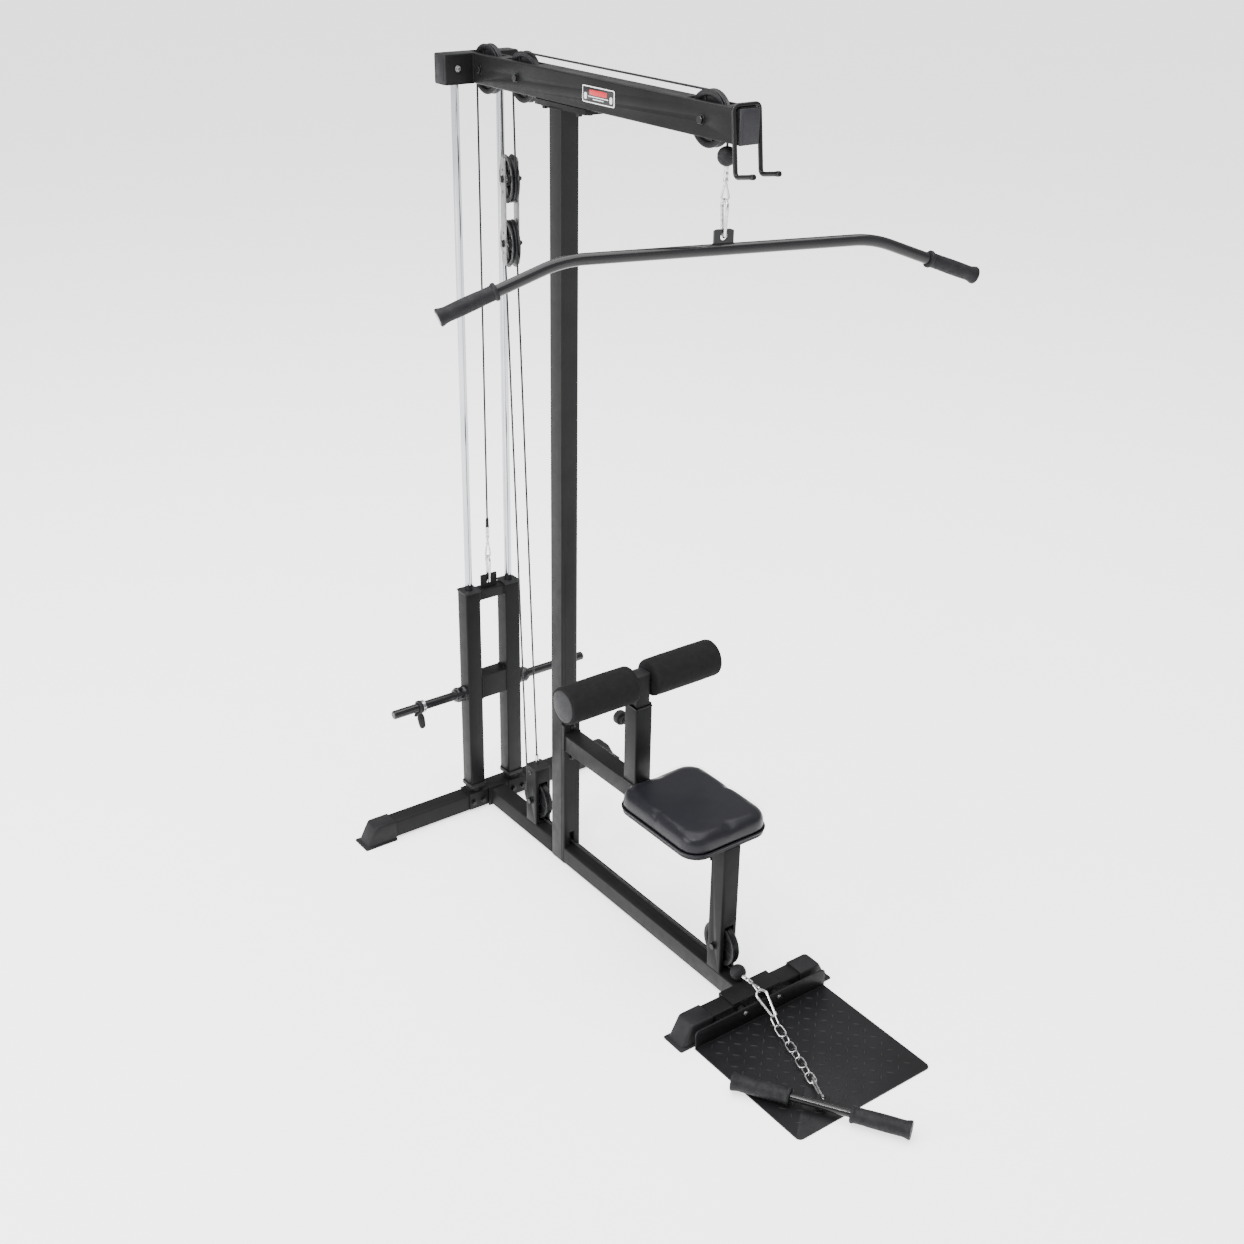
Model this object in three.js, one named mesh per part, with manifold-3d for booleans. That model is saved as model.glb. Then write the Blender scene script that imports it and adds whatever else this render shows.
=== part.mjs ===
// Plate-loaded cable tower for lat pulldowns and low rows.
// Millimetres, +Z up, +X to the right of the seated user, who sits at the -Y end facing +Y.
// The origin is on the floor, under the centre of the whole tower's box.
import * as THREE from 'three';
import { mergeVertices } from 'three/addons/utils/BufferGeometryUtils.js';
import Module from 'manifold-3d';

const wasm = await Module();
wasm.setup();

// ---- driving dimensions -------------------------------------------------
const GAP = 0.3;                 // clearance left between touching pieces

const TUBE = 50;                 // frame tube, square
const WALL = 3;
const TUBE_Z0 = 5;               // underside of the floor tubes
const TUBE_Z1 = TUBE_Z0 + TUBE;  // top of the floor tubes
const RAIL_Z = TUBE_Z0 + TUBE / 2;

const BEAM_TOP = 2100;           // top beam, 50 wide and 70 high
const BEAM_H = 70;
const BEAM_Z0 = BEAM_TOP - BEAM_H;
const BEAM_FRONT = -166;

const REAR_Y = 838;              // crossbar, guide rods, crosshead and weight carriage
const MAST_Y = 470;
const FRONT_Y = -326;            // front crossbar
const REAR_HALF = 388;           // half lengths of the two floor crossbars
const FRONT_HALF = 188;
const MAST_FRONT = MAST_Y - TUBE / 2;
const MAST_BACK = MAST_Y + TUBE / 2;
const MAST_FLANGE = { back: 81, front: 118, thick: 12 };
const FRONT_FLANGE = { thick: 11.7, top: 440 };
const FLANGE_BACK = MAST_FRONT - GAP;
const FLANGE_FRONT = FLANGE_BACK - FRONT_FLANGE.thick;
const CABLE_SLOT = { half: 8, z0: 60, z1: 100 };   // lets the low cable through the mast
const SADDLE = { half: 75, thick: 5 };             // plates that hold the front crossbar
const END_PLATE = { half: 33, thick: 6, z0: 2, z1: 60, holeHalf: 15, hole0: 15, hole1: 45 };

// plastic caps on the crossbars, lengths from the end of the tube
const FOOT = { inner: 48, pocket: 8, crest: 15, nose: 40, sole: 52, half: 28, soleHalf: 35, top: 58,
  soleTop: 4 };

const FOOT_PLATE = { half: 205, front: -736, thick: 4, corner: 12, lipTop: 53, lipCorner: 10 };
const SPACER = { x: 53, z: 38, r: 10, length: 17 };

const ARM_Z0 = 364;              // arm that carries the thigh post and the seat
const ARM_Z1 = ARM_Z0 + TUBE;
const THIGH_Y = 145;
const THIGH_POST_TOP = 630;
const PIN = { z: 560, socket: 28, socketR: 9, neckR: 11, knobR: 18.5, knob0: 39, knob1: 59 };
const SLIDER = { size: 40, wall: 2.5, bottom: 470, top: 718 };
const ROLLER = { z: 697, r: 48, bore: 13.2, inner: 27, outer: 229, axleR: 12.5 };
const SEAT_POST_Y = -211;
const SEAT = { halfX: 125, y0: -237, y1: 75, top: 472, corner: 50 };

const PULLEY = { r: 57.5, groove: 51, pitch: 54, half: 10, bore: 5.4 };
const AXLE_R = 5;
const BOLT = { headR: 8.5, head: 6, nut: 8 };
const TOP_Z = BEAM_Z0 + BEAM_H / 2;        // height of the three pulleys in the beam
const LOW_Z = 125;                         // height of the two pulleys above the rail
const TOP_REAR_Y = REAR_Y - PULLEY.pitch;
const TOP_MIDDLE_Y = 627;
const TOP_FRONT_Y = -50;
const LOW_REAR_Y = 598;
const POST_TOP = 230;                      // low pulley post
const SLOT_HALF = 14;                      // half width of the slots that the pulleys run in
const SLOT_REACH = 62;                     // half length of the slots
const CROSSHEAD_HALF = 100;
const HANGER = { r: 5, bend: 9, hook: [[-33, -228, 1981], [-33, -172, 1971], [-33, -157, 2105.4]] };

const BLOCK = { y: 700, upper: 1822, lower: 1667, twist: -17, plateX: 16, plateT: 3, plateW: 40,
  beyond: 52, corner: 10 };

const ROD = { x: 64, r: 10, top: 2060 };
const ROD_BASE = { x0: 36, x1: 97, thick: 4, bottom: 8 };
const BUMPER_R = 24;
const CARRIAGE = { tube: 46, wall: 2.5, bottom: 72, top: 692, headW: 36, headH: 30, crossZ: 394,
  crossH: 72 };
const LIFT_TAB = { half: 25, thick: 6, above: 36, holeR: 7, holeAbove: 15 };
const HORN = { z: 381, r: 12.5, boss: 22, bossLen: 28, end: 317 };
const COLLAR = { x: 229, half: 10, r: 19, leverHalf: 9, leverEnd: 72 };

const CABLE_R = 2.5;
const LAT_Y = TOP_FRONT_Y - PULLEY.pitch;
const LAT = { z: 1812, r: 12.5, straight: 345, end: 605, droop: 20.5, yaw: -16.7 };
const LAT_GRIP = { from: 482, to: 603, r: 16 };
const LAT_CARABINER = { top: 1946, bottom: 1838, width: 42, wire: 4 };
const LAT_TAB = { half: 22, thick: 6, height: 29, holeR: 8 };
const STOP_R = 20;                         // rubber balls that stop the cables
const HIGH_STOP_Z = 1999;
const LOW_STOP = [0, -278, 76];
const LOW_FERRULE = { r: 5, end: -349 };
const CHAIN = { links: 7, start: [0, -411, 33], lip: [-8, -438, 21], end: [-72, -668, 14] };
const ROW = { x: -111, y: -699, z: 26.8, r: 9, half: 207, dirX: 0.533, dirY: -0.846 };
const ROW_GRIP = { from: 70, r: 19 };
const ROW_TAB = { half: 14, thick: 6, height: 23, holeR: 6, holeAt: 22 };
const ANCHOR = { y: LOW_REAR_Y + 6, z: 262 };      // the low cable's end above its post

// ---- finishes -----------------------------------------------------------
const finish = (color, roughness, metalness) => ({ color, roughness, metalness });
const PAINT = finish('#26272a', 0.45, 0.3);
const CHROME = finish('#d5d7da', 0.15, 1);
const STEEL = finish('#b9bcc0', 0.35, 0.9);
const PLASTIC = finish('#18191b', 0.6, 0);
const RUBBER = finish('#131314', 0.8, 0);
const FOAM = finish('#1c1c1e', 0.9, 0);
const VINYL = finish('#222226', 0.5, 0);
const SHEATH = finish('#141516', 0.4, 0);

// ---- small tools --------------------------------------------------------
const tower = new THREE.Group();

function toSolid(geometry) {
  const bare = geometry.index ? geometry.toNonIndexed() : geometry.clone();
  bare.deleteAttribute('normal');
  bare.deleteAttribute('uv');
  const merged = mergeVertices(bare, 1e-4);
  return new wasm.Manifold(new wasm.Mesh({
    numProp: 3,
    vertProperties: new Float32Array(merged.attributes.position.array),
    triVerts: new Uint32Array(merged.index.array),
  }));
}

function toGeometry(solid) {
  const mesh = solid.getMesh();
  const geometry = new THREE.BufferGeometry();
  geometry.setAttribute('position', new THREE.BufferAttribute(mesh.vertProperties, 3));
  geometry.setIndex(new THREE.BufferAttribute(mesh.triVerts, 1));
  geometry.computeVertexNormals();
  return geometry;
}

function join(...solids) {
  return solids.reduce((sum, next) => sum.add(next));
}

function cut(solid, ...tools) {
  return tools.reduce((rest, tool) => rest.subtract(tool), solid);
}

function box(x0, x1, y0, y1, z0, z1) {
  const geometry = new THREE.BoxGeometry(x1 - x0, y1 - y0, z1 - z0);
  return toSolid(geometry.translate((x0 + x1) / 2, (y0 + y1) / 2, (z0 + z1) / 2));
}

function roundedRect(w, h, r, Kind = THREE.Shape) {
  const outline = new Kind();
  outline.moveTo(-w / 2 + r, -h / 2);
  outline.absarc(w / 2 - r, -h / 2 + r, r, -Math.PI / 2, 0);
  outline.absarc(w / 2 - r, h / 2 - r, r, 0, Math.PI / 2);
  outline.absarc(-w / 2 + r, h / 2 - r, r, Math.PI / 2, Math.PI);
  outline.absarc(-w / 2 + r, -h / 2 + r, r, Math.PI, Math.PI * 1.5);
  outline.closePath();
  return outline;
}

// turns a shape drawn in XY and built up along +Z to run along another axis
const ALONG = {
  X: new THREE.Matrix4().makeBasis(
    new THREE.Vector3(0, 1, 0), new THREE.Vector3(0, 0, 1), new THREE.Vector3(1, 0, 0)),
  Y: new THREE.Matrix4().makeBasis(
    new THREE.Vector3(-1, 0, 0), new THREE.Vector3(0, 0, 1), new THREE.Vector3(0, 1, 0)),
  Z: new THREE.Matrix4(),
};

// square or oblong tube from a to b along one axis; w and h are its size across,
// in the order X, Y, Z; c is the centre on the other two axes
function squareTube(axis, a, b, c, w = TUBE, h = TUBE, wall = WALL) {
  const shape = roundedRect(w, h, wall + 1);
  shape.holes.push(roundedRect(w - 2 * wall, h - 2 * wall, 1, THREE.Path));
  const geometry = new THREE.ExtrudeGeometry(shape, {
    depth: b - a, bevelEnabled: false, curveSegments: 3 });
  geometry.applyMatrix4(ALONG[axis]);
  const place = { X: [a, c[0], c[1]], Y: [c[0], a, c[1]], Z: [c[0], c[1], a] }[axis];
  return toSolid(geometry.translate(...place));
}

// solid of revolution: pairs of [radius, distance along the axis], closed on itself
function turned(axis, points, at, segments = 24) {
  const profile = [...points, points[0]].map(([r, d]) => new THREE.Vector2(r, d));
  const geometry = new THREE.LatheGeometry(profile, segments);
  if (axis === 'X') geometry.rotateZ(-Math.PI / 2);
  if (axis === 'Z') geometry.rotateX(Math.PI / 2);
  return toSolid(geometry.translate(...at));
}

function rod(axis, r, a, b, at, segments = 20) {
  return turned(axis, [[0, a], [r, a], [r, b], [0, b]], at, segments);
}

// straight runs from point to point, so that a bar's sections fall on the points themselves
class Route extends THREE.Curve {
  constructor(points) {
    super();
    this.points = points.map((p) => new THREE.Vector3(...p));
  }

  getPoint(t, target = new THREE.Vector3()) {
    const last = this.points.length - 2;
    const at = THREE.MathUtils.clamp(t, 0, 1) * (last + 1);
    const i = Math.min(last, Math.floor(at));
    return target.lerpVectors(this.points[i], this.points[i + 1], at - i);
  }

  getUtoTmapping(u) {
    return u;
  }
}

// round bar through the points, with a flat end at both ends
function bar(points, r, sides) {
  const section = new THREE.Shape();
  section.absarc(0, 0, r, 0, Math.PI * 2);
  return toSolid(new THREE.ExtrudeGeometry(section, {
    steps: points.length - 1, extrudePath: new Route(points), curveSegments: sides / 2,
    bevelEnabled: false }));
}

// rounds the inner corners of a route, starting each bend this far before its corner
function filleted(points, reach, steps = 4) {
  const toward = (from, to) => {
    const gone = to.map((value, k) => value - from[k]);
    const scale = reach / Math.hypot(...gone);
    return from.map((value, k) => value + gone[k] * scale);
  };
  return points.flatMap((corner, i) => {
    if (i === 0 || i === points.length - 1) return [corner];
    const [a, b] = [toward(corner, points[i - 1]), toward(corner, points[i + 1])];
    return Array.from({ length: steps + 1 }, (_, n) => {
      const t = n / steps;
      return corner.map((value, k) => (1 - t) ** 2 * a[k] + 2 * t * (1 - t) * value + t * t * b[k]);
    });
  });
}

// closed wire loop, long along its own Z and lying in its own XZ plane
function wireLoop(length, width, wire, sides, steps) {
  const r = width / 2 - wire;
  const stretch = length / 2 - wire - r;
  const ring = new THREE.TorusGeometry(r, wire, sides, steps);
  ring.rotateZ(Math.PI / steps).rotateX(Math.PI / 2);
  const { position } = ring.attributes;
  for (let i = 0; i < position.count; i += 1) {
    position.setZ(i, position.getZ(i) + stretch * Math.sign(position.getZ(i)));
  }
  return toSolid(ring);
}

function add(name, shape, look, parent = tower) {
  const geometry = shape.isBufferGeometry ? shape : toGeometry(shape);
  const mesh = new THREE.Mesh(geometry, new THREE.MeshStandardMaterial(look));
  mesh.name = name;
  parent.add(mesh);
  return mesh;
}

// ---- floor frame --------------------------------------------------------
function foot(side, tubeEnd, y) {
  const { inner, pocket, crest, nose, sole, half, soleHalf, top, soleTop } = FOOT;
  const outline = new THREE.Shape();
  outline.moveTo(-inner, 0);
  outline.lineTo(nose, 0);
  outline.lineTo(nose, soleTop);
  outline.lineTo(crest, top);
  outline.lineTo(-inner, top);
  outline.closePath();
  const body = new THREE.ExtrudeGeometry(outline, { depth: 2 * half, bevelEnabled: false });
  body.rotateX(Math.PI / 2).translate(0, half, 0);
  const hollow = box(-inner - 1, pocket, -TUBE / 2 - GAP, TUBE / 2 + GAP, TUBE_Z0 - GAP, TUBE_Z1 + GAP);
  const solid = cut(join(toSolid(body), box(-inner, sole, -soleHalf, soleHalf, 0, soleTop)), hollow);
  const placed = solid.translate([tubeEnd, 0, 0]);
  return (side < 0 ? placed.mirror([1, 0, 0]) : placed).translate([0, y, 0]);
}

function floorFrame() {
  const { half, z0, z1 } = CABLE_SLOT;
  const cableSlot = (y0, y1) => box(-half, half, y0, y1, z0, z1);
  add('rear_crossbar', squareTube('X', -REAR_HALF, REAR_HALF, [REAR_Y, RAIL_Z]), PAINT);
  add('front_crossbar', squareTube('X', -FRONT_HALF, FRONT_HALF, [FRONT_Y, RAIL_Z]), PAINT);
  add('rear_foot_left', foot(-1, REAR_HALF, REAR_Y), PLASTIC);
  add('rear_foot_right', foot(1, REAR_HALF, REAR_Y), PLASTIC);
  add('front_foot_left', foot(-1, FRONT_HALF, FRONT_Y), PLASTIC);
  add('front_foot_right', foot(1, FRONT_HALF, FRONT_Y), PLASTIC);

  const plateBack = REAR_Y - TUBE / 2 - GAP;
  const plateFront = plateBack - END_PLATE.thick;
  add('rear_rail', join(
    squareTube('Y', MAST_BACK + GAP, plateFront + 1, [0, RAIL_Z]),
    cut(box(-END_PLATE.half, END_PLATE.half, plateFront, plateBack, END_PLATE.z0, END_PLATE.z1),
      box(-END_PLATE.holeHalf, END_PLATE.holeHalf, plateFront - 1, plateBack + 1,
        END_PLATE.hole0, END_PLATE.hole1)),
  ), PAINT);

  const saddleFront = FRONT_Y + TUBE / 2 + GAP;
  const saddleBack = saddleFront + SADDLE.thick;
  const saddleTop = TUBE_Z1 + SADDLE.thick;
  const tubeHalf = TUBE / 2;
  const bore = tubeHalf - WALL - 10;
  add('front_rail', cut(join(
    squareTube('Y', saddleBack - 1, FLANGE_FRONT + 1, [0, RAIL_Z]),
    box(-tubeHalf, tubeHalf, FLANGE_FRONT, FLANGE_BACK, TUBE_Z0, FRONT_FLANGE.top),
    box(-SADDLE.half, SADDLE.half, saddleFront, saddleBack, TUBE_Z0, saddleTop),
    box(-SADDLE.half, SADDLE.half, FRONT_Y - tubeHalf, saddleBack, TUBE_Z1 + GAP, saddleTop),
  ), cableSlot(FLANGE_FRONT - 1, FLANGE_BACK + 1),
  box(-bore, bore, FLANGE_FRONT - 1, FLANGE_BACK + 1, RAIL_Z - bore, RAIL_Z + bore)), PAINT);

  const mastTop = BEAM_Z0 - GAP;
  add('mast', cut(join(
    squareTube('Z', TUBE_Z0, mastTop - 1, [0, MAST_Y]),
    box(-tubeHalf, tubeHalf, MAST_Y - MAST_FLANGE.front, MAST_Y + MAST_FLANGE.back,
      mastTop - MAST_FLANGE.thick, mastTop),
  ), cableSlot(MAST_FRONT - 1, MAST_BACK + 1)), PAINT);
}

function footPlate() {
  const { half, front, thick, corner, lipTop, lipCorner } = FOOT_PLATE;
  const back = FRONT_Y - TUBE / 2 - SPACER.length;
  const spare = 2 * corner;
  const depth = back - front + spare;
  const sheet = new THREE.ExtrudeGeometry(roundedRect(2 * half, depth, corner), {
    depth: thick, bevelEnabled: false, curveSegments: 5 });
  const plate = toSolid(sheet.translate(0, front + depth / 2, 0));
  const lipHeight = lipTop + spare;
  const upright = new THREE.ExtrudeGeometry(roundedRect(2 * half, lipHeight, lipCorner), {
    depth: thick, bevelEnabled: false, curveSegments: 4 });
  upright.applyMatrix4(ALONG.Y).translate(0, back - thick, lipTop - lipHeight / 2);
  const below = box(-half - 1, half + 1, back - thick - 1, back + 1, -spare - 1, 0);
  const spacers = [-SPACER.x, SPACER.x].map((x) => (
    rod('Y', SPACER.r, back - 1, FRONT_Y - TUBE / 2 - GAP, [x, 0, SPACER.z], 16)));
  add('foot_plate', join(
    cut(plate, box(-half - 1, half + 1, back, back + spare + 1, -1, thick + 1)),
    cut(toSolid(upright), below), ...spacers), PAINT);
}

// ---- upper frame --------------------------------------------------------
function axleHole(y, z) {
  return rod('X', AXLE_R + GAP, -TUBE, TUBE, [0, y, z], 12);
}

function upperFrame() {
  const beamBack = REAR_Y - TUBE / 2 - GAP;
  const slot = (y0, y1) => box(-SLOT_HALF, SLOT_HALF, y0, y1, BEAM_Z0 - 1, BEAM_TOP + 1);
  add('top_beam', cut(
    squareTube('Y', BEAM_FRONT, beamBack, [0, TOP_Z], TUBE, BEAM_H),
    slot(TOP_REAR_Y - SLOT_REACH, beamBack + 1),
    slot(TOP_MIDDLE_Y - SLOT_REACH, TOP_MIDDLE_Y + SLOT_REACH),
    slot(TOP_FRONT_Y - SLOT_REACH, TOP_FRONT_Y + SLOT_REACH),
    axleHole(TOP_REAR_Y, TOP_Z), axleHole(TOP_MIDDLE_Y, TOP_Z), axleHole(TOP_FRONT_Y, TOP_Z),
  ), PAINT);

  const rim = 4;
  const inset = WALL + 0.5;
  const halfTube = TUBE / 2;
  add('beam_end_cap', join(
    box(-halfTube, halfTube, BEAM_FRONT - rim, BEAM_FRONT - GAP, BEAM_Z0, BEAM_TOP),
    box(-halfTube + inset, halfTube - inset, BEAM_FRONT - 1, BEAM_FRONT + 14,
      BEAM_Z0 + inset, BEAM_TOP - inset),
  ), PLASTIC);

  const rodHole = (x) => rod('Z', ROD.r + 0.6, BEAM_Z0 - 1, BEAM_Z0 + WALL + 2, [x, REAR_Y, 0]);
  add('crosshead', cut(
    squareTube('X', -CROSSHEAD_HALF, CROSSHEAD_HALF, [REAR_Y, TOP_Z], TUBE, BEAM_H),
    slot(REAR_Y - TUBE / 2 - 1, REAR_Y + 12),
    rodHole(-ROD.x), rodHole(ROD.x),
  ), PAINT);

  // bent rod over the beam's front end, its two hooks hold a spare bar
  const other = HANGER.hook.map(([x, y, z]) => [-x, y, z]).reverse();
  add('bar_hanger', bar(filleted([...HANGER.hook, ...other], HANGER.bend), HANGER.r, 8), STEEL);

  for (const [name, y, z] of [
    ['axle_top_rear', TOP_REAR_Y, TOP_Z], ['axle_top_middle', TOP_MIDDLE_Y, TOP_Z],
    ['axle_top_front', TOP_FRONT_Y, TOP_Z], ['axle_low_rear', LOW_REAR_Y, LOW_Z],
    ['axle_low_front', SEAT_POST_Y, LOW_Z]]) {
    add(name, pin(TUBE / 2 + GAP).translate([0, y, z]), STEEL);
  }
}

// bolt along X with its head and nut outside two faces this far from the middle
function pin(face) {
  const { headR, head, nut } = BOLT;
  return turned('X', [[0, -face - head], [headR, -face - head], [headR, -face], [AXLE_R, -face],
    [AXLE_R, face], [headR, face], [headR, face + nut], [0, face + nut]], [0, 0, 0], 12);
}

function posts() {
  const slot = (y) => box(-SLOT_HALF, SLOT_HALF, y - TUBE, y + TUBE,
    LOW_Z - SLOT_REACH, LOW_Z + SLOT_REACH);
  add('low_pulley_post', cut(
    squareTube('Z', TUBE_Z1 + GAP, POST_TOP, [0, LOW_REAR_Y]),
    slot(LOW_REAR_Y), axleHole(LOW_REAR_Y, LOW_Z)), PAINT);
  add('seat_post', cut(
    squareTube('Z', TUBE_Z1 + GAP, ARM_Z1, [0, SEAT_POST_Y]),
    slot(SEAT_POST_Y), axleHole(SEAT_POST_Y, LOW_Z)), PAINT);
  add('upper_arm', squareTube('Y', SEAT_POST_Y + TUBE / 2 + GAP, FLANGE_FRONT - GAP,
    [0, ARM_Z0 + TUBE / 2]), PAINT);

  const back = THIGH_Y + TUBE / 2;
  add('thigh_post', cut(
    join(squareTube('Z', ARM_Z1 + GAP, THIGH_POST_TOP, [0, THIGH_Y]),
      rod('Y', PIN.socketR, back - 1, back + PIN.socket, [0, 0, PIN.z], 16)),
    rod('Y', AXLE_R + GAP, back - 2 * WALL, back + PIN.socket + 1, [0, 0, PIN.z], 16)), PAINT);
}

function seat() {
  const outline = roundedRect(2 * SEAT.halfX, SEAT.y1 - SEAT.y0, SEAT.corner);
  const pad = new THREE.ExtrudeGeometry(outline, {
    depth: SEAT.top - ARM_Z1 - GAP, bevelEnabled: false, curveSegments: 6 });
  add('seat_pad', toSolid(pad.translate(0, (SEAT.y0 + SEAT.y1) / 2, ARM_Z1 + GAP)), VINYL);
}

// ---- thigh hold-down ----------------------------------------------------
function thighRest() {
  add('thigh_slider', join(
    squareTube('Z', SLIDER.bottom, SLIDER.top, [0, THIGH_Y], SLIDER.size, SLIDER.size, SLIDER.wall),
    rod('X', ROLLER.axleR, -ROLLER.outer - 3, ROLLER.outer + 3, [0, THIGH_Y, ROLLER.z])), PAINT);
  for (const [name, side] of [['roller_left', -1], ['roller_right', 1]]) {
    const { inner, outer, r, bore } = ROLLER;
    const profile = [[bore, inner], [r - 6, inner], [r, inner + 6], [r, outer - 6],
      [r - 6, outer], [bore, outer]];
    const ring = turned('X', profile, [0, 0, 0], 28);
    add(name, (side < 0 ? ring.mirror([1, 0, 0]) : ring).translate([0, THIGH_Y, ROLLER.z]), FOAM);
  }

  // spring pin, its tip inside the post's wall and its knob behind the post
  const wall = THIGH_Y + TUBE / 2;
  const socket = wall + PIN.socket + GAP;
  add('thigh_pin', turned('Y', [[0, wall - WALL + GAP], [AXLE_R, wall - WALL + GAP],
    [AXLE_R, socket], [PIN.neckR, socket], [PIN.neckR, wall + PIN.knob0 - 2],
    [PIN.knobR, wall + PIN.knob0], [PIN.knobR, wall + PIN.knob1 - 3],
    [PIN.knobR - 3, wall + PIN.knob1], [0, wall + PIN.knob1]], [0, 0, PIN.z], 16), CHROME);
}

// ---- weight carriage and its guides -------------------------------------
function guides() {
  const low = TUBE_Z1 + GAP;
  const plateTop = low + ROD_BASE.thick;
  const front = REAR_Y - TUBE / 2;
  const flapFront = front - GAP - ROD_BASE.thick;
  const { x0, x1, bottom } = ROD_BASE;
  add('rod_base', join(
    box(-x1, x1, front + GAP, REAR_Y + TUBE / 2, low, plateTop),
    ...[[-x1, -x0], [x0, x1]].flatMap(([from, to]) => [
      box(from, to, flapFront, front + 2, low, plateTop),
      box(from, to, flapFront, front - GAP, bottom, plateTop)])), PAINT);

  const bore = ROD.r + 0.6;
  for (const [side, x] of [['left', -ROD.x], ['right', ROD.x]]) {
    add(`guide_rod_${side}`, rod('Z', ROD.r, plateTop + GAP, ROD.top, [x, REAR_Y, 0]), CHROME);
    add(`bumper_${side}`, turned('Z', [[bore, plateTop + GAP], [BUMPER_R, plateTop + GAP],
      [BUMPER_R, CARRIAGE.bottom - 4], [BUMPER_R - 3, CARRIAGE.bottom - GAP],
      [bore, CARRIAGE.bottom - GAP]], [x, REAR_Y, 0]), RUBBER);
  }
}

function carriage() {
  const { tube, wall, bottom, top } = CARRIAGE;
  const inner = ROD.x - tube / 2 - GAP;
  for (const [side, sign] of [['left', -1], ['right', 1]]) {
    add(`carriage_tube_${side}`,
      squareTube('Z', bottom, top, [sign * ROD.x, REAR_Y], tube, tube, wall), PAINT);

    const out = ROD.x + tube / 2 + GAP;
    const { r, boss, bossLen, end, z } = HORN;
    const neck = out + bossLen;
    const horn = turned('X', [[0, out], [boss, out], [boss, neck], [boss - 2, neck],
      [boss - 2, neck + 6], [r, neck + 6], [r, end - 3], [r - 3, end], [0, end]], [0, 0, 0]);
    const place = (solid) => (sign < 0 ? solid.mirror([1, 0, 0]) : solid).translate([0, REAR_Y, z]);
    add(`weight_horn_${side}`, place(horn), CHROME);

    const [x0, x1] = [COLLAR.x - COLLAR.half, COLLAR.x + COLLAR.half];
    const ring = join(
      turned('X', [[0, x0], [COLLAR.r - 2, x0], [COLLAR.r, x0 + 2], [COLLAR.r, x1 - 2],
        [COLLAR.r - 2, x1], [0, x1]], [0, 0, 0]),
      box(COLLAR.x - COLLAR.leverHalf, COLLAR.x + COLLAR.leverHalf, -5, 5, -COLLAR.leverEnd, -r - 2));
    add(`collar_${side}`, place(cut(ring, rod('X', r + 0.4, x0 - 2, x1 + 2, [0, 0, 0], 24))), PLASTIC);
  }

  const { half, thick, above, holeR, holeAbove } = LIFT_TAB;
  const tab = cut(box(-half, half, REAR_Y - thick / 2, REAR_Y + thick / 2, top - 2, top + above),
    rod('Y', holeR, REAR_Y - thick, REAR_Y + thick, [0, 0, top + holeAbove], 16));
  const { headW, headH, crossZ, crossH } = CARRIAGE;
  add('carriage_head', join(
    squareTube('X', -inner, inner, [REAR_Y, top - headH / 2], headW, headH, wall), tab), PAINT);
  add('carriage_crossmember',
    squareTube('X', -inner, inner, [REAR_Y, crossZ], tube, crossH, wall), PAINT);
}

// ---- pulleys ------------------------------------------------------------
function pulley() {
  const { r, groove, half, bore } = PULLEY;
  return turned('X', [[bore, -half], [r - 2, -half], [r, -half + 2], [r, -6], [groove, -2.4],
    [groove, 2.4], [r, 6], [r, half - 2], [r - 2, half], [bore, half]], [0, 0, 0], 24);
}

function pulleys() {
  for (const [name, y, z] of [
    ['pulley_top_rear', TOP_REAR_Y, TOP_Z], ['pulley_top_middle', TOP_MIDDLE_Y, TOP_Z],
    ['pulley_top_front', TOP_FRONT_Y, TOP_Z], ['pulley_low_rear', LOW_REAR_Y, LOW_Z],
    ['pulley_low_front', SEAT_POST_Y, LOW_Z]]) {
    add(name, pulley().translate([0, y, z]), PLASTIC);
  }

  const { plateX, plateT, plateW, upper, lower, beyond, corner } = BLOCK;
  const block = new THREE.Group();
  block.position.set(0, BLOCK.y, 0);
  block.rotation.z = THREE.MathUtils.degToRad(BLOCK.twist);
  tower.add(block);
  add('pulley_block_upper', pulley().translate([0, 0, upper]), PLASTIC, block);
  add('pulley_block_lower', pulley().translate([0, 0, lower]), PLASTIC, block);

  const plate = (x) => {
    const outline = roundedRect(plateW, upper - lower + 2 * beyond, corner);
    const sheet = new THREE.ExtrudeGeometry(outline, {
      depth: plateT, bevelEnabled: false, curveSegments: 4 });
    sheet.applyMatrix4(ALONG.X).translate(x, 0, (upper + lower) / 2);
    return toSolid(sheet);
  };
  const pins = [upper, lower].map((z) => pin(plateX + 1).translate([0, 0, z]));
  add('pulley_block', join(plate(plateX - plateT / 2), plate(-plateX - plateT / 2), ...pins), STEEL, block);
}

// ---- cables -------------------------------------------------------------
// part of a turn round a pulley, angles in degrees from +Y towards +Z
function wrap(y, z, from, to, across = (d) => [0, y + d]) {
  const turns = Math.round(Math.abs(to - from) / 12);
  return Array.from({ length: turns + 1 }, (_, i) => {
    const angle = THREE.MathUtils.degToRad(from + ((to - from) * i) / turns);
    const [x, yy] = across(PULLEY.pitch * Math.cos(angle));
    return [x, yy, z + PULLEY.pitch * Math.sin(angle)];
  });
}

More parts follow.
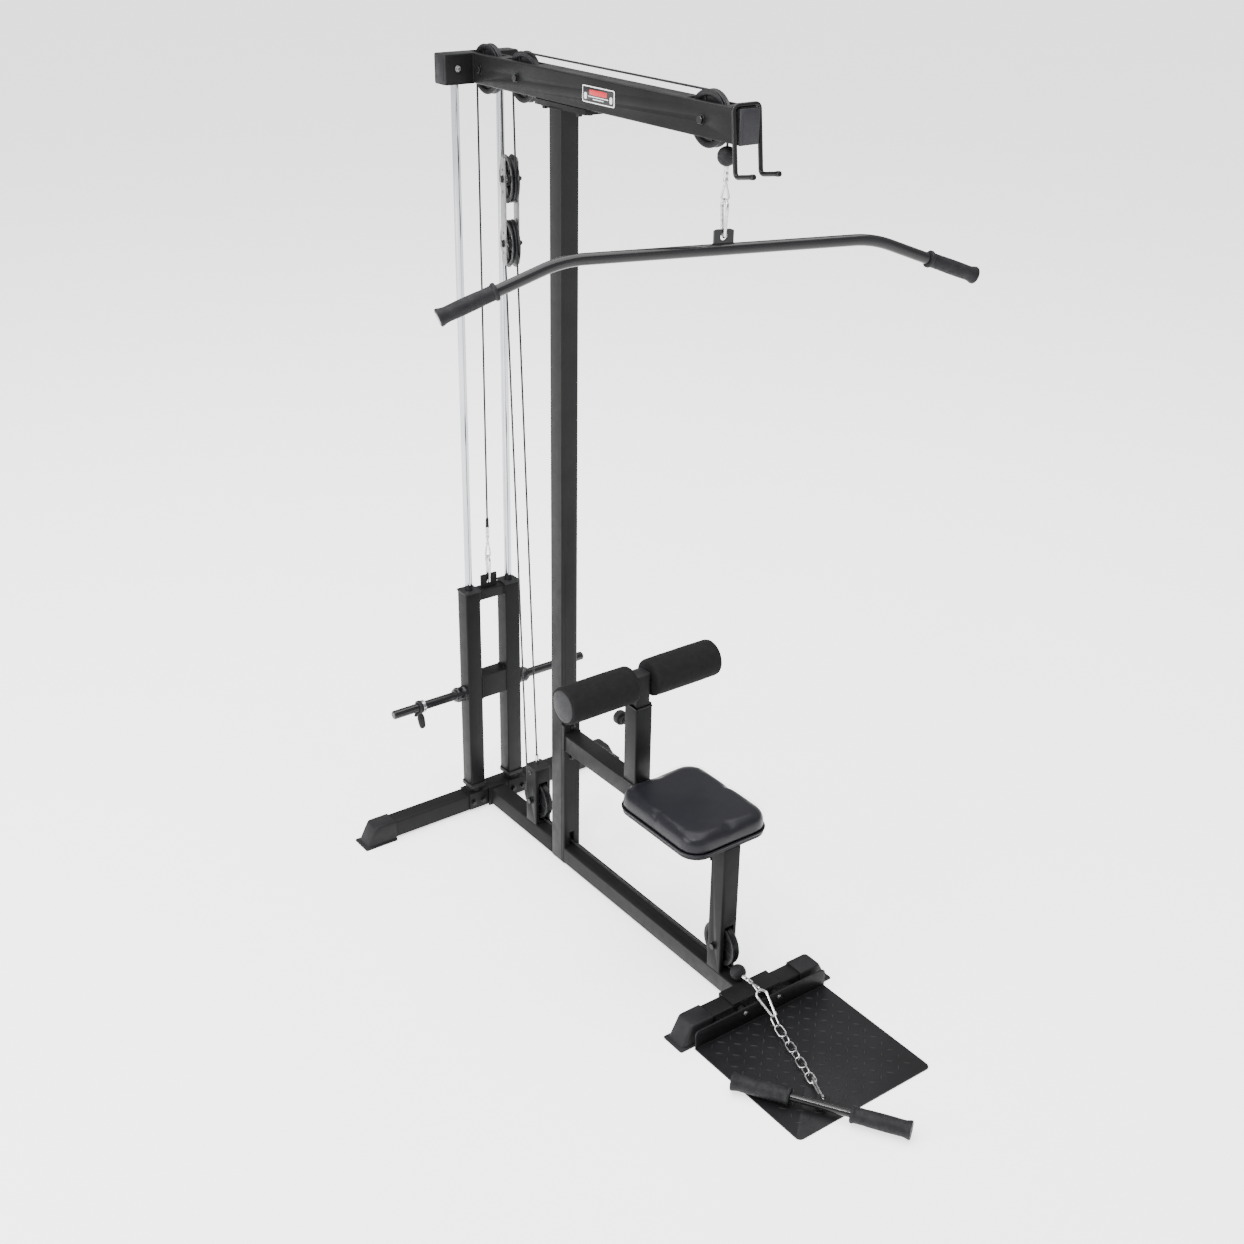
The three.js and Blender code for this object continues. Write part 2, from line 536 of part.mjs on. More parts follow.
function cables() {
  const lean = THREE.MathUtils.degToRad(-BLOCK.twist);
  const inBlock = (d) => [d * Math.sin(lean), BLOCK.y + d * Math.cos(lean)];
  add('high_cable', bar([
    [0, REAR_Y, CARRIAGE.top + 37], [0, REAR_Y, 1400],
    ...wrap(TOP_REAR_Y, TOP_Z, 0, 180), ...wrap(BLOCK.y, BLOCK.upper, 0, -180, inBlock),
    ...wrap(TOP_MIDDLE_Y, TOP_Z, 0, 90), ...wrap(TOP_FRONT_Y, TOP_Z, 90, 180),
    [0, LAT_Y, HIGH_STOP_Z + STOP_R + GAP],
  ], CABLE_R, 8), SHEATH);
  add('low_cable', bar([
    [0, LOW_STOP[1] + STOP_R + GAP, LOW_Z - PULLEY.pitch], [0, 200, LOW_Z - PULLEY.pitch],
    ...wrap(LOW_REAR_Y, LOW_Z, -90, 0), ...wrap(BLOCK.y, BLOCK.lower, 0, 180, inBlock),
    [0, ANCHOR.y, ANCHOR.z], [0, ANCHOR.y - 1, POST_TOP + GAP],
  ], CABLE_R, 8), SHEATH);
}

// ---- lat bar ------------------------------------------------------------
function latBar() {
  const { z, r, straight, end, droop, yaw } = LAT;
  const group = new THREE.Group();
  group.position.set(0, LAT_Y, 0);
  group.rotation.z = THREE.MathUtils.degToRad(yaw);
  tower.add(group);

  const slope = THREE.MathUtils.degToRad(droop);
  const low = z - (end - straight) * Math.tan(slope);
  const spine = filleted([[-end, 0, low], [-straight, 0, z], [straight, 0, z], [end, 0, low]], 40);
  const { half, thick, height, holeR } = LAT_TAB;
  const tab = cut(box(-half, half, -thick / 2, thick / 2, z + r - 4, z + r + height),
    rod('Y', holeR, -thick, thick, [0, 0, LAT_CARABINER.bottom], 16));
  add('lat_bar', join(bar(spine, r, 16), tab), PAINT, group);

  for (const [name, side] of [['lat_grip_left', -1], ['lat_grip_right', 1]]) {
    const from = (LAT_GRIP.from - straight) / Math.cos(slope);
    const to = (LAT_GRIP.to - straight) / Math.cos(slope);
    const g = LAT_GRIP.r;
    const sleeve = turned('X', [[r + GAP, from], [g + 3, from], [g + 3, from + 6], [g, from + 10],
      [g, to - 12], [g + 3, to - 6], [g + 3, to], [r + GAP, to]], [0, 0, 0], 20);
    const sloped = sleeve.rotate([0, droop, 0]).translate([straight, 0, z]);
    add(name, side < 0 ? sloped.mirror([1, 0, 0]) : sloped, RUBBER, group);
  }

  const { top, bottom, width, wire } = LAT_CARABINER;
  const ring = wireLoop(top - bottom + 3, width, wire, 8, 16);
  add('lat_carabiner', ring.rotate([0, 0, 90]).translate([0, 0, (top + bottom) / 2]), STEEL, group);
  add('high_stop', turned('Z', [[0, top + 3], [4.5, top + 3], [6, top + 8], [6, HIGH_STOP_Z - 18],
    ...Array.from({ length: 7 }, (_, i) => {
      const angle = THREE.MathUtils.degToRad(-66 + i * 22);
      return [STOP_R * Math.cos(angle), HIGH_STOP_Z + STOP_R * Math.sin(angle)];
    }), [0, HIGH_STOP_Z + STOP_R]], [0, LAT_Y, 0], 20), RUBBER);
}

// ---- low row bar --------------------------------------------------------
// wire loop lying from a to b, turned about its own length
function link(a, b, length, width, wire, twist) {
  const from = new THREE.Vector3(...a);
  const to = new THREE.Vector3(...b);
  const heading = to.clone().sub(from).normalize();
  const turn = new THREE.Quaternion().setFromUnitVectors(new THREE.Vector3(0, 0, 1), heading);
  const spin = new THREE.Quaternion().setFromAxisAngle(heading, THREE.MathUtils.degToRad(twist));
  const middle = from.add(to).multiplyScalar(0.5);
  const pose = new THREE.Matrix4().compose(middle, spin.multiply(turn), new THREE.Vector3(1, 1, 1));
  return wireLoop(length, width, wire, 6, 10).transform(pose.elements);
}

function rowBar() {
  const { x, y, z, r, half, dirX, dirY } = ROW;
  const group = new THREE.Group();
  group.position.set(x, y, z);
  group.rotation.z = Math.atan2(dirY, dirX);
  tower.add(group);
  const tab = cut(
    box(-ROW_TAB.half, ROW_TAB.half, r - 4, r + ROW_TAB.height, -ROW_TAB.thick / 2, ROW_TAB.thick / 2),
    rod('Z', ROW_TAB.holeR, -ROW_TAB.thick, ROW_TAB.thick, [0, ROW_TAB.holeAt, 0], 12));
  add('row_bar', join(rod('X', r, -half, half, [0, 0, 0], 16), tab), CHROME, group);
  for (const [name, side] of [['row_grip_left', -1], ['row_grip_right', 1]]) {
    const { from, r: g } = ROW_GRIP;
    const sleeve = turned('X', [[r + GAP, from], [g + 2, from], [g + 2, from + 5], [g, from + 9],
      [g, half - 12], [g + 3.5, half - 5], [g + 3.5, half + 1], [r + GAP, half + 1]], [0, 0, 0], 20);
    add(name, side < 0 ? sleeve.mirror([1, 0, 0]) : sleeve, RUBBER, group);
  }

  // stop ball, ferrule, snap hook and chain, down over the lip and along the foot plate
  const [bx, by, bz] = LOW_STOP;
  const pieces = [
    toSolid(new THREE.SphereGeometry(STOP_R, 16, 10).translate(bx, by, bz)),
    rod('Y', LOW_FERRULE.r, LOW_FERRULE.end, by - STOP_R / 2, [0, 0, bz], 12),
    link([0, -345, 76], [0, -413, 36], 82, 40, 4, 0),
  ];
  const chain = [CHAIN.start];
  for (let i = 0; i <= CHAIN.links; i += 1) {
    chain.push(CHAIN.lip.map((value, k) => value + ((CHAIN.end[k] - value) * i) / CHAIN.links));
  }
  for (let i = 1; i < chain.length; i += 1) {
    pieces.push(link(chain[i - 1], chain[i], 43, 20, 3, i % 2 ? -45 : 45));
  }
  add('row_chain', join(...pieces), STEEL);
}

floorFrame();
footPlate();
upperFrame();
posts();
seat();
thighRest();
guides();
carriage();
pulleys();
cables();
latBar();
rowBar();

export default tower;
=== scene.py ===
"""Looks of a plate-loaded lat pulldown and low-row tower, built around its CAD frame.

Shapes are drawn in millimetres, in the row frame: +Z up, +Y from the foot plate to the weight
carriage, +X to the seated user's right. Shape.mesh() turns them into metres.
"""

from math import ceil, cos, exp, hypot, pi, radians, sin, tan, tau

import bmesh
import bpy
from mathutils import Matrix, Vector, noise


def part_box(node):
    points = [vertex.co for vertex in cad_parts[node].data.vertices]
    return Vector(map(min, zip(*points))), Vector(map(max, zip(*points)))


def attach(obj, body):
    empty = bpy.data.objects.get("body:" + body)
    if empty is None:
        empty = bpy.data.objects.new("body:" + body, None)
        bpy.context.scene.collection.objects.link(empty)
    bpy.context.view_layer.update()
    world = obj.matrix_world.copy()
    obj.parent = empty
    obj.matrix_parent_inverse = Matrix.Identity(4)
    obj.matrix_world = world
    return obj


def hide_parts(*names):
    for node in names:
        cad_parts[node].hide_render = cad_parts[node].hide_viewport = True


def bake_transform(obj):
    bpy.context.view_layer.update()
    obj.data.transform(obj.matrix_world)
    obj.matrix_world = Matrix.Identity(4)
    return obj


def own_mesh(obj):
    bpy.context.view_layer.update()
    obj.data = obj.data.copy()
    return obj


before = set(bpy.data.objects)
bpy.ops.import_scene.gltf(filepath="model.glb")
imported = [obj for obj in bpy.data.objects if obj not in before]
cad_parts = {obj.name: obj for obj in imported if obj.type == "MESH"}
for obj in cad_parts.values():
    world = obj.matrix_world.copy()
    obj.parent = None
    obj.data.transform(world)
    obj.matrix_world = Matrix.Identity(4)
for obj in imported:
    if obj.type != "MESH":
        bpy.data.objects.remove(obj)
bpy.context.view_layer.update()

X, Y, Z = Vector((1, 0, 0)), Vector((0, 1, 0)), Vector((0, 0, 1))
MM = 0.001
MERGE = 0.001                             # vertices this close, in mm, become one

# ---- driving dimensions, mm ----------------------------------------------
TUBE = 50
REAR_Y, MAST_Y, FRONT_Y = 838, 470, -326
RAIL_TOP = 55
BEAM_TOP, BEAM_BOTTOM = 2100, 2030
TOP_Z, LOW_Z = 2065, 125                  # heights of the pulleys in the beam and above the rail
PITCH, CABLE_R = 54, 2.5                  # where a cable's middle runs on a pulley
TOP_REAR_Y, TOP_MIDDLE_Y, TOP_FRONT_Y = 784, 627, -50
LOW_REAR_Y, LOW_FRONT_Y = 598, -211
BLOCK_Y, BLOCK_UPPER, BLOCK_LOWER, BLOCK_TWIST = 700, 1822, 1667, -17
ROD_X, CARRIAGE_TOP, CARRIAGE_BOTTOM = 64, 692, 72
HORN_Z, COLLAR_X = 381, 229
THIGH_Y, ROLLER_Z, PIN_Z = 145, 697, 560
LAT_Y, LAT_Z, LAT_YAW = -104, 1812, -16.7
ARM_BOTTOM, ARM_TOP = 364, 414
FLANGE = 12.3                             # a bolted flange plate and the gap behind it
BLOCK_FACE = 17.5                         # the pulley block's side plates, outside
SEAM_HOLD = 0.2                           # share of the seat cover's sideways swelling its seam allows


# ---- node materials ------------------------------------------------------
class Look:
    """A Principled material whose colour, roughness and relief vary with object coordinates."""

    def __init__(self, name, colour, roughness, metallic=0.0, gloss=0.14):
        self.material = bpy.data.materials.new(name)
        self.material.use_nodes = True
        self.tree = self.material.node_tree
        self.shader = self.tree.nodes["Principled BSDF"]
        self.shader.inputs["Base Color"].default_value = (*colour, 1)
        self.shader.inputs["Roughness"].default_value = roughness
        self.shader.inputs["Metallic"].default_value = metallic
        self.shader.inputs["Specular IOR Level"].default_value = 0.5 if metallic else gloss
        self.place = self.node("ShaderNodeTexCoord").outputs["Object"]

    def node(self, kind, **settings):
        made = self.tree.nodes.new(kind)
        for key, value in settings.items():
            setattr(made, key, value)
        return made

    def link(self, source, target):
        self.tree.links.new(source, target)

    def stretched(self, scale):
        """object coordinates scaled unevenly, for grain and streaks"""
        mapping = self.node("ShaderNodeMapping")
        mapping.inputs["Scale"].default_value = scale
        self.link(self.place, mapping.inputs["Vector"])
        return mapping.outputs["Vector"]

    def noise(self, scale, detail=3.0, place=None):
        made = self.node("ShaderNodeTexNoise")
        made.inputs["Scale"].default_value = scale
        made.inputs["Detail"].default_value = detail
        self.link(place or self.place, made.inputs["Vector"])
        return made.outputs["Fac"]

    def cells(self, scale, feature="F1"):
        made = self.node("ShaderNodeTexVoronoi", feature=feature)
        made.inputs["Scale"].default_value = scale
        self.link(self.place, made.inputs["Vector"])
        return made.outputs["Distance"]

    def ramp(self, source, low, high):
        made = self.node("ShaderNodeMapRange")
        self.link(source, made.inputs["Value"])
        for key, value in (("From Min", 0.3), ("From Max", 0.7), ("To Min", low), ("To Max", high)):
            made.inputs[key].default_value = value
        return made.outputs["Result"]

    def tint(self, source, dark, light):
        """base colour between two colours, by a 0 to 1 source"""
        mix = self.node("ShaderNodeMix", data_type="RGBA")
        mix.inputs["A"].default_value = (*dark, 1)
        mix.inputs["B"].default_value = (*light, 1)
        self.link(self.ramp(source, 0, 1), mix.inputs["Factor"])
        self.link(mix.outputs["Result"], self.shader.inputs["Base Color"])

    def rough(self, source, low, high):
        self.link(self.ramp(source, low, high), self.shader.inputs["Roughness"])

    def finish(self, tint_at, pair, rough_at, low, high, layers):
        """cloudy colour and uneven gloss, each by noise of this scale and detail, over a relief"""
        self.tint(self.noise(*tint_at), *pair)
        self.rough(self.noise(*rough_at), low, high)
        self.relief(layers)
        return self.material

    def relief(self, layers):
        """bumps, as (source, height in mm) pairs stacked on each other"""
        normal = None
        for source, height in layers:
            bump = self.node("ShaderNodeBump")
            bump.inputs["Strength"].default_value = 1.0
            bump.inputs["Distance"].default_value = height * MM
            self.link(source, bump.inputs["Height"])
            if normal:
                self.link(normal, bump.inputs["Normal"])
            normal = bump.outputs["Normal"]
        self.link(normal, self.shader.inputs["Normal"])


def shades(colour, spread):
    return [tuple(c * (1 - spread) for c in colour), tuple(c * (1 + spread) for c in colour)]


def powder_coat(name, colour, low=0.34, high=0.46, peel=0.05, gloss=0.14):
    """satin powder coat: orange peel, a few cloudy patches and fine specks"""
    look = Look(name, colour, (low + high) / 2, gloss=gloss)
    skin = [(look.noise(420, 2), peel), (look.noise(1500, 2), peel * 0.3)]
    return look.finish((9, 4), shades(colour, 0.16), (38, 5), low, high, skin)


def chrome_plate():
    look = Look("chrome_plate", (0.42, 0.43, 0.45), 0.07, 1.0)
    pair = (0.38, 0.39, 0.41), (0.46, 0.47, 0.49)
    streaks = look.stretched((260, 260, 3))
    return look.finish((6, 3), pair, (1, 4, streaks), 0.05, 0.13, [(look.noise(30, 2), 0.01)])


def zinc_plate():
    look = Look("zinc_plate", (0.5, 0.5, 0.52), 0.2, 1.0)
    pair = (0.34, 0.345, 0.36), (0.66, 0.66, 0.66)
    return look.finish((120, 4), pair, (260, 4), 0.12, 0.28, [(look.noise(700, 3), 0.03)])


def dull_steel():
    look = Look("dull_steel", (0.2, 0.2, 0.205), 0.42, 0.85)
    grain = look.stretched((900, 900, 14))
    pair = (0.15, 0.15, 0.155), (0.26, 0.26, 0.265)
    return look.finish((50, 4), pair, (1, 3, grain), 0.34, 0.52, [(look.noise(1, 3, grain), 0.02)])


def moulded(name, colour, low, high, pebble=0.04, scale=900):
    """moulded plastic with a fine pebbled skin"""
    look = Look(name, colour, (low + high) / 2)
    skin = [(look.cells(scale), pebble), (look.noise(60, 2), 0.05)]
    return look.finish((24, 3), shades(colour, 0.18), (80, 3), low, high, skin)


def rubber(name, colour, scale=500):
    look = Look(name, colour, 0.7)
    skin = [(look.noise(scale, 4), 0.08)]
    return look.finish((60, 4), shades(colour, 0.3), (140, 4), 0.48, 0.7, skin)


def foam():
    """dense foam with a closed skin of tiny cells"""
    look = Look("roller_foam_skin", (0.009, 0.009, 0.0095), 0.9, gloss=0.08)
    pair = (0.008, 0.008, 0.0085), (0.0105, 0.0105, 0.011)
    skin = [(look.cells(620), 0.16), (look.noise(30, 2), 0.12)]
    return look.finish((70, 5), pair, (300, 2), 0.82, 0.95, skin)


def vinyl():
    """upholstery vinyl: cells of leather grain over soft creases"""
    look = Look("seat_vinyl_grain", (0.008, 0.008, 0.0105), 0.36, gloss=0.16)
    look.shader.inputs["Coat Weight"].default_value = 0.05
    look.shader.inputs["Coat Roughness"].default_value = 0.25
    pair = (0.0074, 0.0074, 0.0098), (0.009, 0.009, 0.0118)
    skin = [(look.cells(620, "DISTANCE_TO_EDGE"), 0.07), (look.noise(900, 2), 0.02)]
    return look.finish((40, 4), pair, (160, 4), 0.31, 0.39, skin)


def sheath():
    look = Look("cable_sheath_gloss", (0.012, 0.012, 0.013), 0.3)
    lay = look.node("ShaderNodeTexWave", wave_type="BANDS", bands_direction="DIAGONAL")
    lay.inputs["Scale"].default_value = 160
    look.link(look.place, lay.inputs["Vector"])
    pair = (0.008, 0.008, 0.009), (0.018, 0.018, 0.02)
    return look.finish((90, 3), pair, (200, 3), 0.24, 0.4, [(lay.outputs["Fac"], 0.12)])


def enamel(name, colour):
    """the badge's printed colours under a clear coat"""
    look = Look(name, colour, 0.3)
    look.shader.inputs["Coat Weight"].default_value = 0.4
    return look.finish((150, 3), shades(colour, 0.06), (200, 3), 0.24, 0.36, [(look.noise(900, 2), 0.01)])


PAINT = powder_coat("frame_powder_coat", (0.0082, 0.0082, 0.0086), gloss=0.08)
TREAD = powder_coat("tread_powder_coat", (0.008, 0.008, 0.009), 0.4, 0.54, 0.09)
# the tread crests are painted lighter than the plate around them: a painted highlight on the raised lozenges
CREST_PAINTED_HIGHLIGHT = powder_coat("tread_crests_painted_highlight", (0.014, 0.014, 0.015), 0.26, 0.42, 0.04, 0.3)
BAR_PAINT = powder_coat("bar_semi_gloss", (0.009, 0.009, 0.01), 0.13, 0.2, 0.015, 0.28)
CHROME = chrome_plate()
ZINC = zinc_plate()
STEEL = dull_steel()
BLACK_STEEL = powder_coat("blackened_fasteners", (0.006, 0.006, 0.0065), 0.2, 0.3, 0.02, 0.2)
PLASTIC = moulded("moulded_black", (0.011, 0.011, 0.012), 0.42, 0.58)
CAP_GREY = moulded("end_cap_charcoal", (0.022, 0.022, 0.025), 0.4, 0.5)
DISC_GREY = moulded("roller_disc_grey", (0.02, 0.02, 0.0215), 0.5, 0.65, 0.12, 420)
NYLON = moulded("pulley_nylon_black", (0.009, 0.009, 0.01), 0.26, 0.4, 0.015)
RUBBER = rubber("moulded_rubber", (0.010, 0.010, 0.011))
GRIP = rubber("grip_rubber", (0.011, 0.011, 0.0125), 260)
FOAM = foam()
VINYL = vinyl()
SHEATH = sheath()


# ---- shape tools ---------------------------------------------------------
def spin(degrees, axis="Z"):
    return Matrix.Rotation(radians(degrees), 4, axis)


def toward(axis, at=(0, 0, 0), twist=0.0):
    """turns local +Z to point along axis, after a turn about +Z, and moves it to a place"""
    turn = Vector(axis).to_track_quat("Z", "Y").to_matrix().to_4x4()
    return Matrix.Translation(at) @ turn @ spin(twist)


def arc(centre, radius, start, stop, u, v, steps=12):
    """points round part of a circle in the plane of u and v, angles in degrees"""
    angles = [radians(start + (stop - start) * i / steps) for i in range(steps + 1)]
    return [Vector(centre) + Vector(u) * radius * cos(a) + Vector(v) * radius * sin(a)
            for a in angles]


def filleted(points, reach, steps=8):
    """rounds a route's inner corners, each bend starting this far before its corner"""
    points = [Vector(p) for p in points]
    route = [points[0]]
    for before, corner, after in zip(points, points[1:], points[2:]):
        a = corner + (before - corner).normalized() * reach
        b = corner + (after - corner).normalized() * reach
        for i in range(steps + 1):
            t = i / steps
            route.append(a * (1 - t) ** 2 + corner * 2 * t * (1 - t) + b * t * t)
    return route + [points[-1]]


def dense(points, step):
    """adds points so that none are further apart than step"""
    route = [Vector(points[0])]
    for a, b in zip(points, points[1:]):
        a, b = Vector(a), Vector(b)
        pieces = max(1, ceil((b - a).length / step))
        route += [a.lerp(b, i / pieces) for i in range(1, pieces + 1)]
    return route


def rounded_outline(w, h, r, steps=6, centre=(0, 0)):
    """corner points of a rounded rectangle, anticlockwise"""
    outline = []
    for i, (sx, sy) in enumerate(((1, -1), (1, 1), (-1, 1), (-1, -1))):
        corner = (centre[0] + sx * (w / 2 - r), centre[1] + sy * (h / 2 - r), 0)
        outline += arc(corner, r, -90 + 90 * i, 90 * i, X, Y, steps)
    return [(p.x, p.y) for p in outline]


def quarter(x, y, radius, start):
    """corner points of a quarter circle, anticlockwise"""
    return [(p.x, p.y) for p in arc((x, y, 0), radius, start, start + 90, X, Y, 8)]


class Shape:
    """a mesh under construction"""

    def __init__(self):
        self.bm = bmesh.new()

    def faces(self, rings, close_ring=True, close_route=False, caps=False):
        """skins rows of vertices"""
        count = len(rings[0])
        rows = list(zip(rings, rings[1:] + rings[:1])) if close_route else list(zip(rings, rings[1:]))
        for a, b in rows:
            for i in range(count if close_ring else count - 1):
                j = (i + 1) % count
                corners = [a[i], a[j], b[j], b[i]]
                if len(set(corners)) > 2:
                    self.bm.faces.new(corners)
        if caps:
            self.bm.faces.new(list(reversed(rings[0])))
            self.bm.faces.new(rings[-1])

    def lathe(self, profile, place, steps=48):
        """profile of (radius, distance): it ends on the axis at both ends, or closes on itself"""
        closed = profile[0][0] > 0 and profile[-1][0] > 0
        rings = []
        for i in range(steps):
            a = tau * i / steps
            rings.append([self.bm.verts.new(place @ Vector((r * cos(a), r * sin(a), d)))
                          for r, d in profile])
        self.faces(rings, close_ring=closed, close_route=True)
        return self

    def rod(self, place, radius, low, high, steps=24):
        return self.lathe([(0, low), (radius, low), (radius, high), (0, high)], place, steps)

    def sleeve(self, place, inner, outer, low, high, steps=24):
        return self.lathe([(inner, low), (outer, low), (outer, high), (inner, high)], place, steps)

    def washer(self, place, radius):
        self.lathe([(0, 0), (radius, 0), (radius, 1.2), (radius - 0.4, 1.6), (0, 1.6)], place, 28)

    def row(self, outline, z, place=Matrix.Identity(4)):
        """vertices of a flat outline at one height"""
        return [self.bm.verts.new(place @ Vector((x, y, z))) for x, y in outline]

    def tube(self, route, radius, sides=16, closed=False, ripple=None):
        """round section along a route; ripple gives the radius at each place"""
        route = [Vector(p) for p in route]
        count = len(route)
        rings, side = [], None
        for i, p in enumerate(route):
            before = route[i - 1] if closed or i else p
            after = route[(i + 1) % count] if closed or i < count - 1 else p
            heading = (after - before).normalized()
            if side is None:
                side = heading.orthogonal().normalized()
            side = (side - heading * side.dot(heading)).normalized()
            other = heading.cross(side)
            r = ripple(i) if ripple else radius
            rings.append([self.bm.verts.new(p + side * r * cos(tau * k / sides)
                                            + other * r * sin(tau * k / sides))
                          for k in range(sides)])
        self.faces(rings, close_route=closed, caps=not closed)
        return self

    def block(self, low, high, bevel=1.0, place=Matrix.Identity(4)):
        low, high = Vector(low), Vector(high)
        made = bmesh.ops.create_cube(self.bm, size=1.0)["verts"]
        size = Matrix.Diagonal((*(high - low), 1))
        bmesh.ops.transform(self.bm, verts=made, matrix=place @ Matrix.Translation((low + high) / 2) @ size)
        if bevel:
            edges = {e for v in made for e in v.link_edges}
            self.ease(edges, bevel)
        return self

    def ease(self, edges, width):
        bmesh.ops.bevel(self.bm, geom=list(edges), offset=width, segments=2, profile=0.5, affect="EDGES")

    def slab(self, outline, z0, z1, bevel=0.8, place=Matrix.Identity(4)):
        """flat outline built up from z0 to z1, with rounded rims"""
        low, high = self.row(outline, z0, place), self.row(outline, z1, place)
        sides = []
        for i in range(len(outline)):
            j = (i + 1) % len(outline)
            sides.append(self.bm.faces.new([low[i], low[j], high[j], high[i]]))
        top = self.bm.faces.new(high)
        bottom = self.bm.faces.new(list(reversed(low)))
        if bevel:
            self.ease(set(top.edges) | set(bottom.edges), bevel)
        return self

    def hex_bolt(self, at, axis, across=13, height=5.5, washer=9.5, twist=10):
        """hexagon head on a washer, standing on the surface at this point"""
        place = toward(axis, at, twist)
        r = across / 2 / cos(pi / 6)
        top = 1.6 + height
        self.washer(place, washer)
        self.lathe([(0, 1.5), (r, 1.5), (r, top - 1), (r - 1.2, top), (0, top)], place, 6)
        return self

    def nut(self, at, axis, across=13, washer=9.5, thread=4, twist=25):
        """lock nut on a washer, with the end of the bolt showing"""
        place = toward(axis, at, twist)
        r = across / 2 / cos(pi / 6)
        self.washer(place, washer)
        self.lathe([(0, 1.5), (r, 1.5), (r, 6.5), (r - 1, 7.5), (0, 7.5)], place, 6)
        self.lathe([(0, 7.4), (thread + 1.2, 7.4), (thread + 0.8, 9), (0, 9)], place, 20)
        self.lathe([(0, 8.9), (thread - 0.2, 8.9), (thread - 0.2, 11), (thread - 1, 11.8), (0, 11.8)],
                   place, 16)
        return self

    def socket_bolt(self, at, axis, radius=7, height=3.6):
        """domed button head with a hexagon socket"""
        place = toward(axis, at)
        dome = [(radius * cos(a), height * sin(a))
                for a in (pi / 2 * i / 6 for i in range(6))]
        rim = [(2.6, height * 0.93), (2.2, height * 0.93), (2.0, 0.9), (0, 0.9)]
        self.lathe([(0, -0.2), (radius, -0.2), *dome, *rim], place, 24)
        return self

    def weld(self, corners, radius=2.2, closed=True):
        """bead of overlapping ripples along a joint"""
        corners = [*corners, corners[0]] if closed else list(corners)
        route = dense(corners, 1.6)
        if closed:
            route = route[:-1]
        self.tube(route, radius, 8, closed, lambda i: radius * (1.0 if i % 2 else 0.82))
        return self

    def mesh(self, name):
        """the finished mesh in metres"""
        bmesh.ops.remove_doubles(self.bm, verts=self.bm.verts, dist=MERGE)
        bmesh.ops.recalc_face_normals(self.bm, faces=self.bm.faces)
        bmesh.ops.scale(self.bm, vec=(MM, MM, MM), verts=self.bm.verts)
        mesh = bpy.data.meshes.new(name)
        self.bm.to_mesh(mesh)
        self.bm.free()
        return mesh


def add_object(name, data):
    obj = bpy.data.objects.new(name, data)
    bpy.context.scene.collection.objects.link(obj)
    return obj


def shade(mesh, angle):
    mesh.shade_smooth()
    mesh.set_sharp_from_angle(angle=radians(angle))


def place_piece(name, shape, material, body=None, replaces=(), angle=38):
    obj = add_object(name, shape.mesh(name))
    obj.data.materials.append(material)
    shade(obj.data, angle)
    if body:
        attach(obj, body)
    if replaces:
        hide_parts(*replaces)
    return obj


def span(node):
    """lowest and highest corner of a CAD node, mm"""
    low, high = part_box(node)
    return low / MM, high / MM


# ---- camera, light and floor ---------------------------------------------
def make_camera():
    azimuth, elevation, roll = (radians(a) for a in (36.8668, 26.1358, 0.9859))
    ahead = Vector((sin(azimuth) * cos(elevation),
                    cos(azimuth) * cos(elevation), -sin(elevation)))
    level = ahead.cross(Z).normalized()
    upright = level.cross(ahead)
    right = level * cos(roll) + upright * sin(roll)
    up = upright * cos(roll) - level * sin(roll)
    data = bpy.data.cameras.new("camera")
    data.sensor_width = 36
    data.lens = 47.24
    data.clip_end = 200
    camera = add_object("camera", data)
    turn = Matrix((right, up, -ahead)).transposed().to_4x4()
    camera.matrix_world = Matrix.Translation((-2.1637, -2.6659, 2.5985)) @ turn
    bpy.context.scene.camera = camera


def softbox(name, at, target, size, power):
    data = bpy.data.lights.new(name, "AREA")
    data.size = size
    data.energy = power
    add_object(name, data).matrix_world = toward(Vector(at) - Vector(target), at)


def make_studio():
    world = bpy.data.worlds.new("studio")
    world.use_nodes = True
    background = world.node_tree.nodes["Background"]
    background.inputs["Color"].default_value = (1, 1, 1, 1)
    background.inputs["Strength"].default_value = 0.7
    bpy.context.scene.world = world
    softbox("overhead", (-0.4, 0.6, 6.5), (0, 0.2, 0.4), 7.0, 900)
    softbox("left_key", (-6.2, 0.8, 3.2), (0, 0.2, 1.0), 3.4, 420)
    softbox("strip", (-2.4, -1.2, 4.6), (0, 0.1, 1.2), 0.5, 90)
    softbox("front_fill", (1.2, -5.6, 3.0), (0, 0, 0.9), 3.4, 30)

    floor = Look("studio_floor", (0.92, 0.92, 0.92), 0.6)
    floor.tint(floor.noise(0.7, 2), (0.91, 0.91, 0.91), (0.93, 0.93, 0.93))
    floor.shader.inputs["Emission Color"].default_value = (1, 1, 1, 1)
    floor.shader.inputs["Emission Strength"].default_value = 1.6
    half = 80
    mesh = bpy.data.meshes.new("floor")
    mesh.from_pydata([(-half, -half, 0), (half, -half, 0), (half, half, 0), (-half, half, 0)],
                     [], [(0, 1, 2, 3)])
    obj = add_object("floor", mesh)
    mesh.materials.append(floor.material)


# ---- frame tubes and plates, kept from the CAD ----------------------------
def dress_cad(node, material):
    """a CAD node's own shape, with eased edges and a real finish"""
    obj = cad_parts[node]
    obj.data.materials.clear()
    obj.data.materials.append(material)
    shade(obj.data, 38)
    weld = obj.modifiers.new("weld", "WELD")
    weld.merge_threshold = 0.00001
    plain = obj.modifiers.new("plain", "DECIMATE")
    plain.decimate_type = "DISSOLVE"
    plain.angle_limit = radians(1)
    ease = obj.modifiers.new("ease", "BEVEL")
    ease.width = 0.8 * MM
    ease.segments = 2
    ease.limit_method = "ANGLE"
    ease.angle_limit = radians(50)
    ease.harden_normals = True


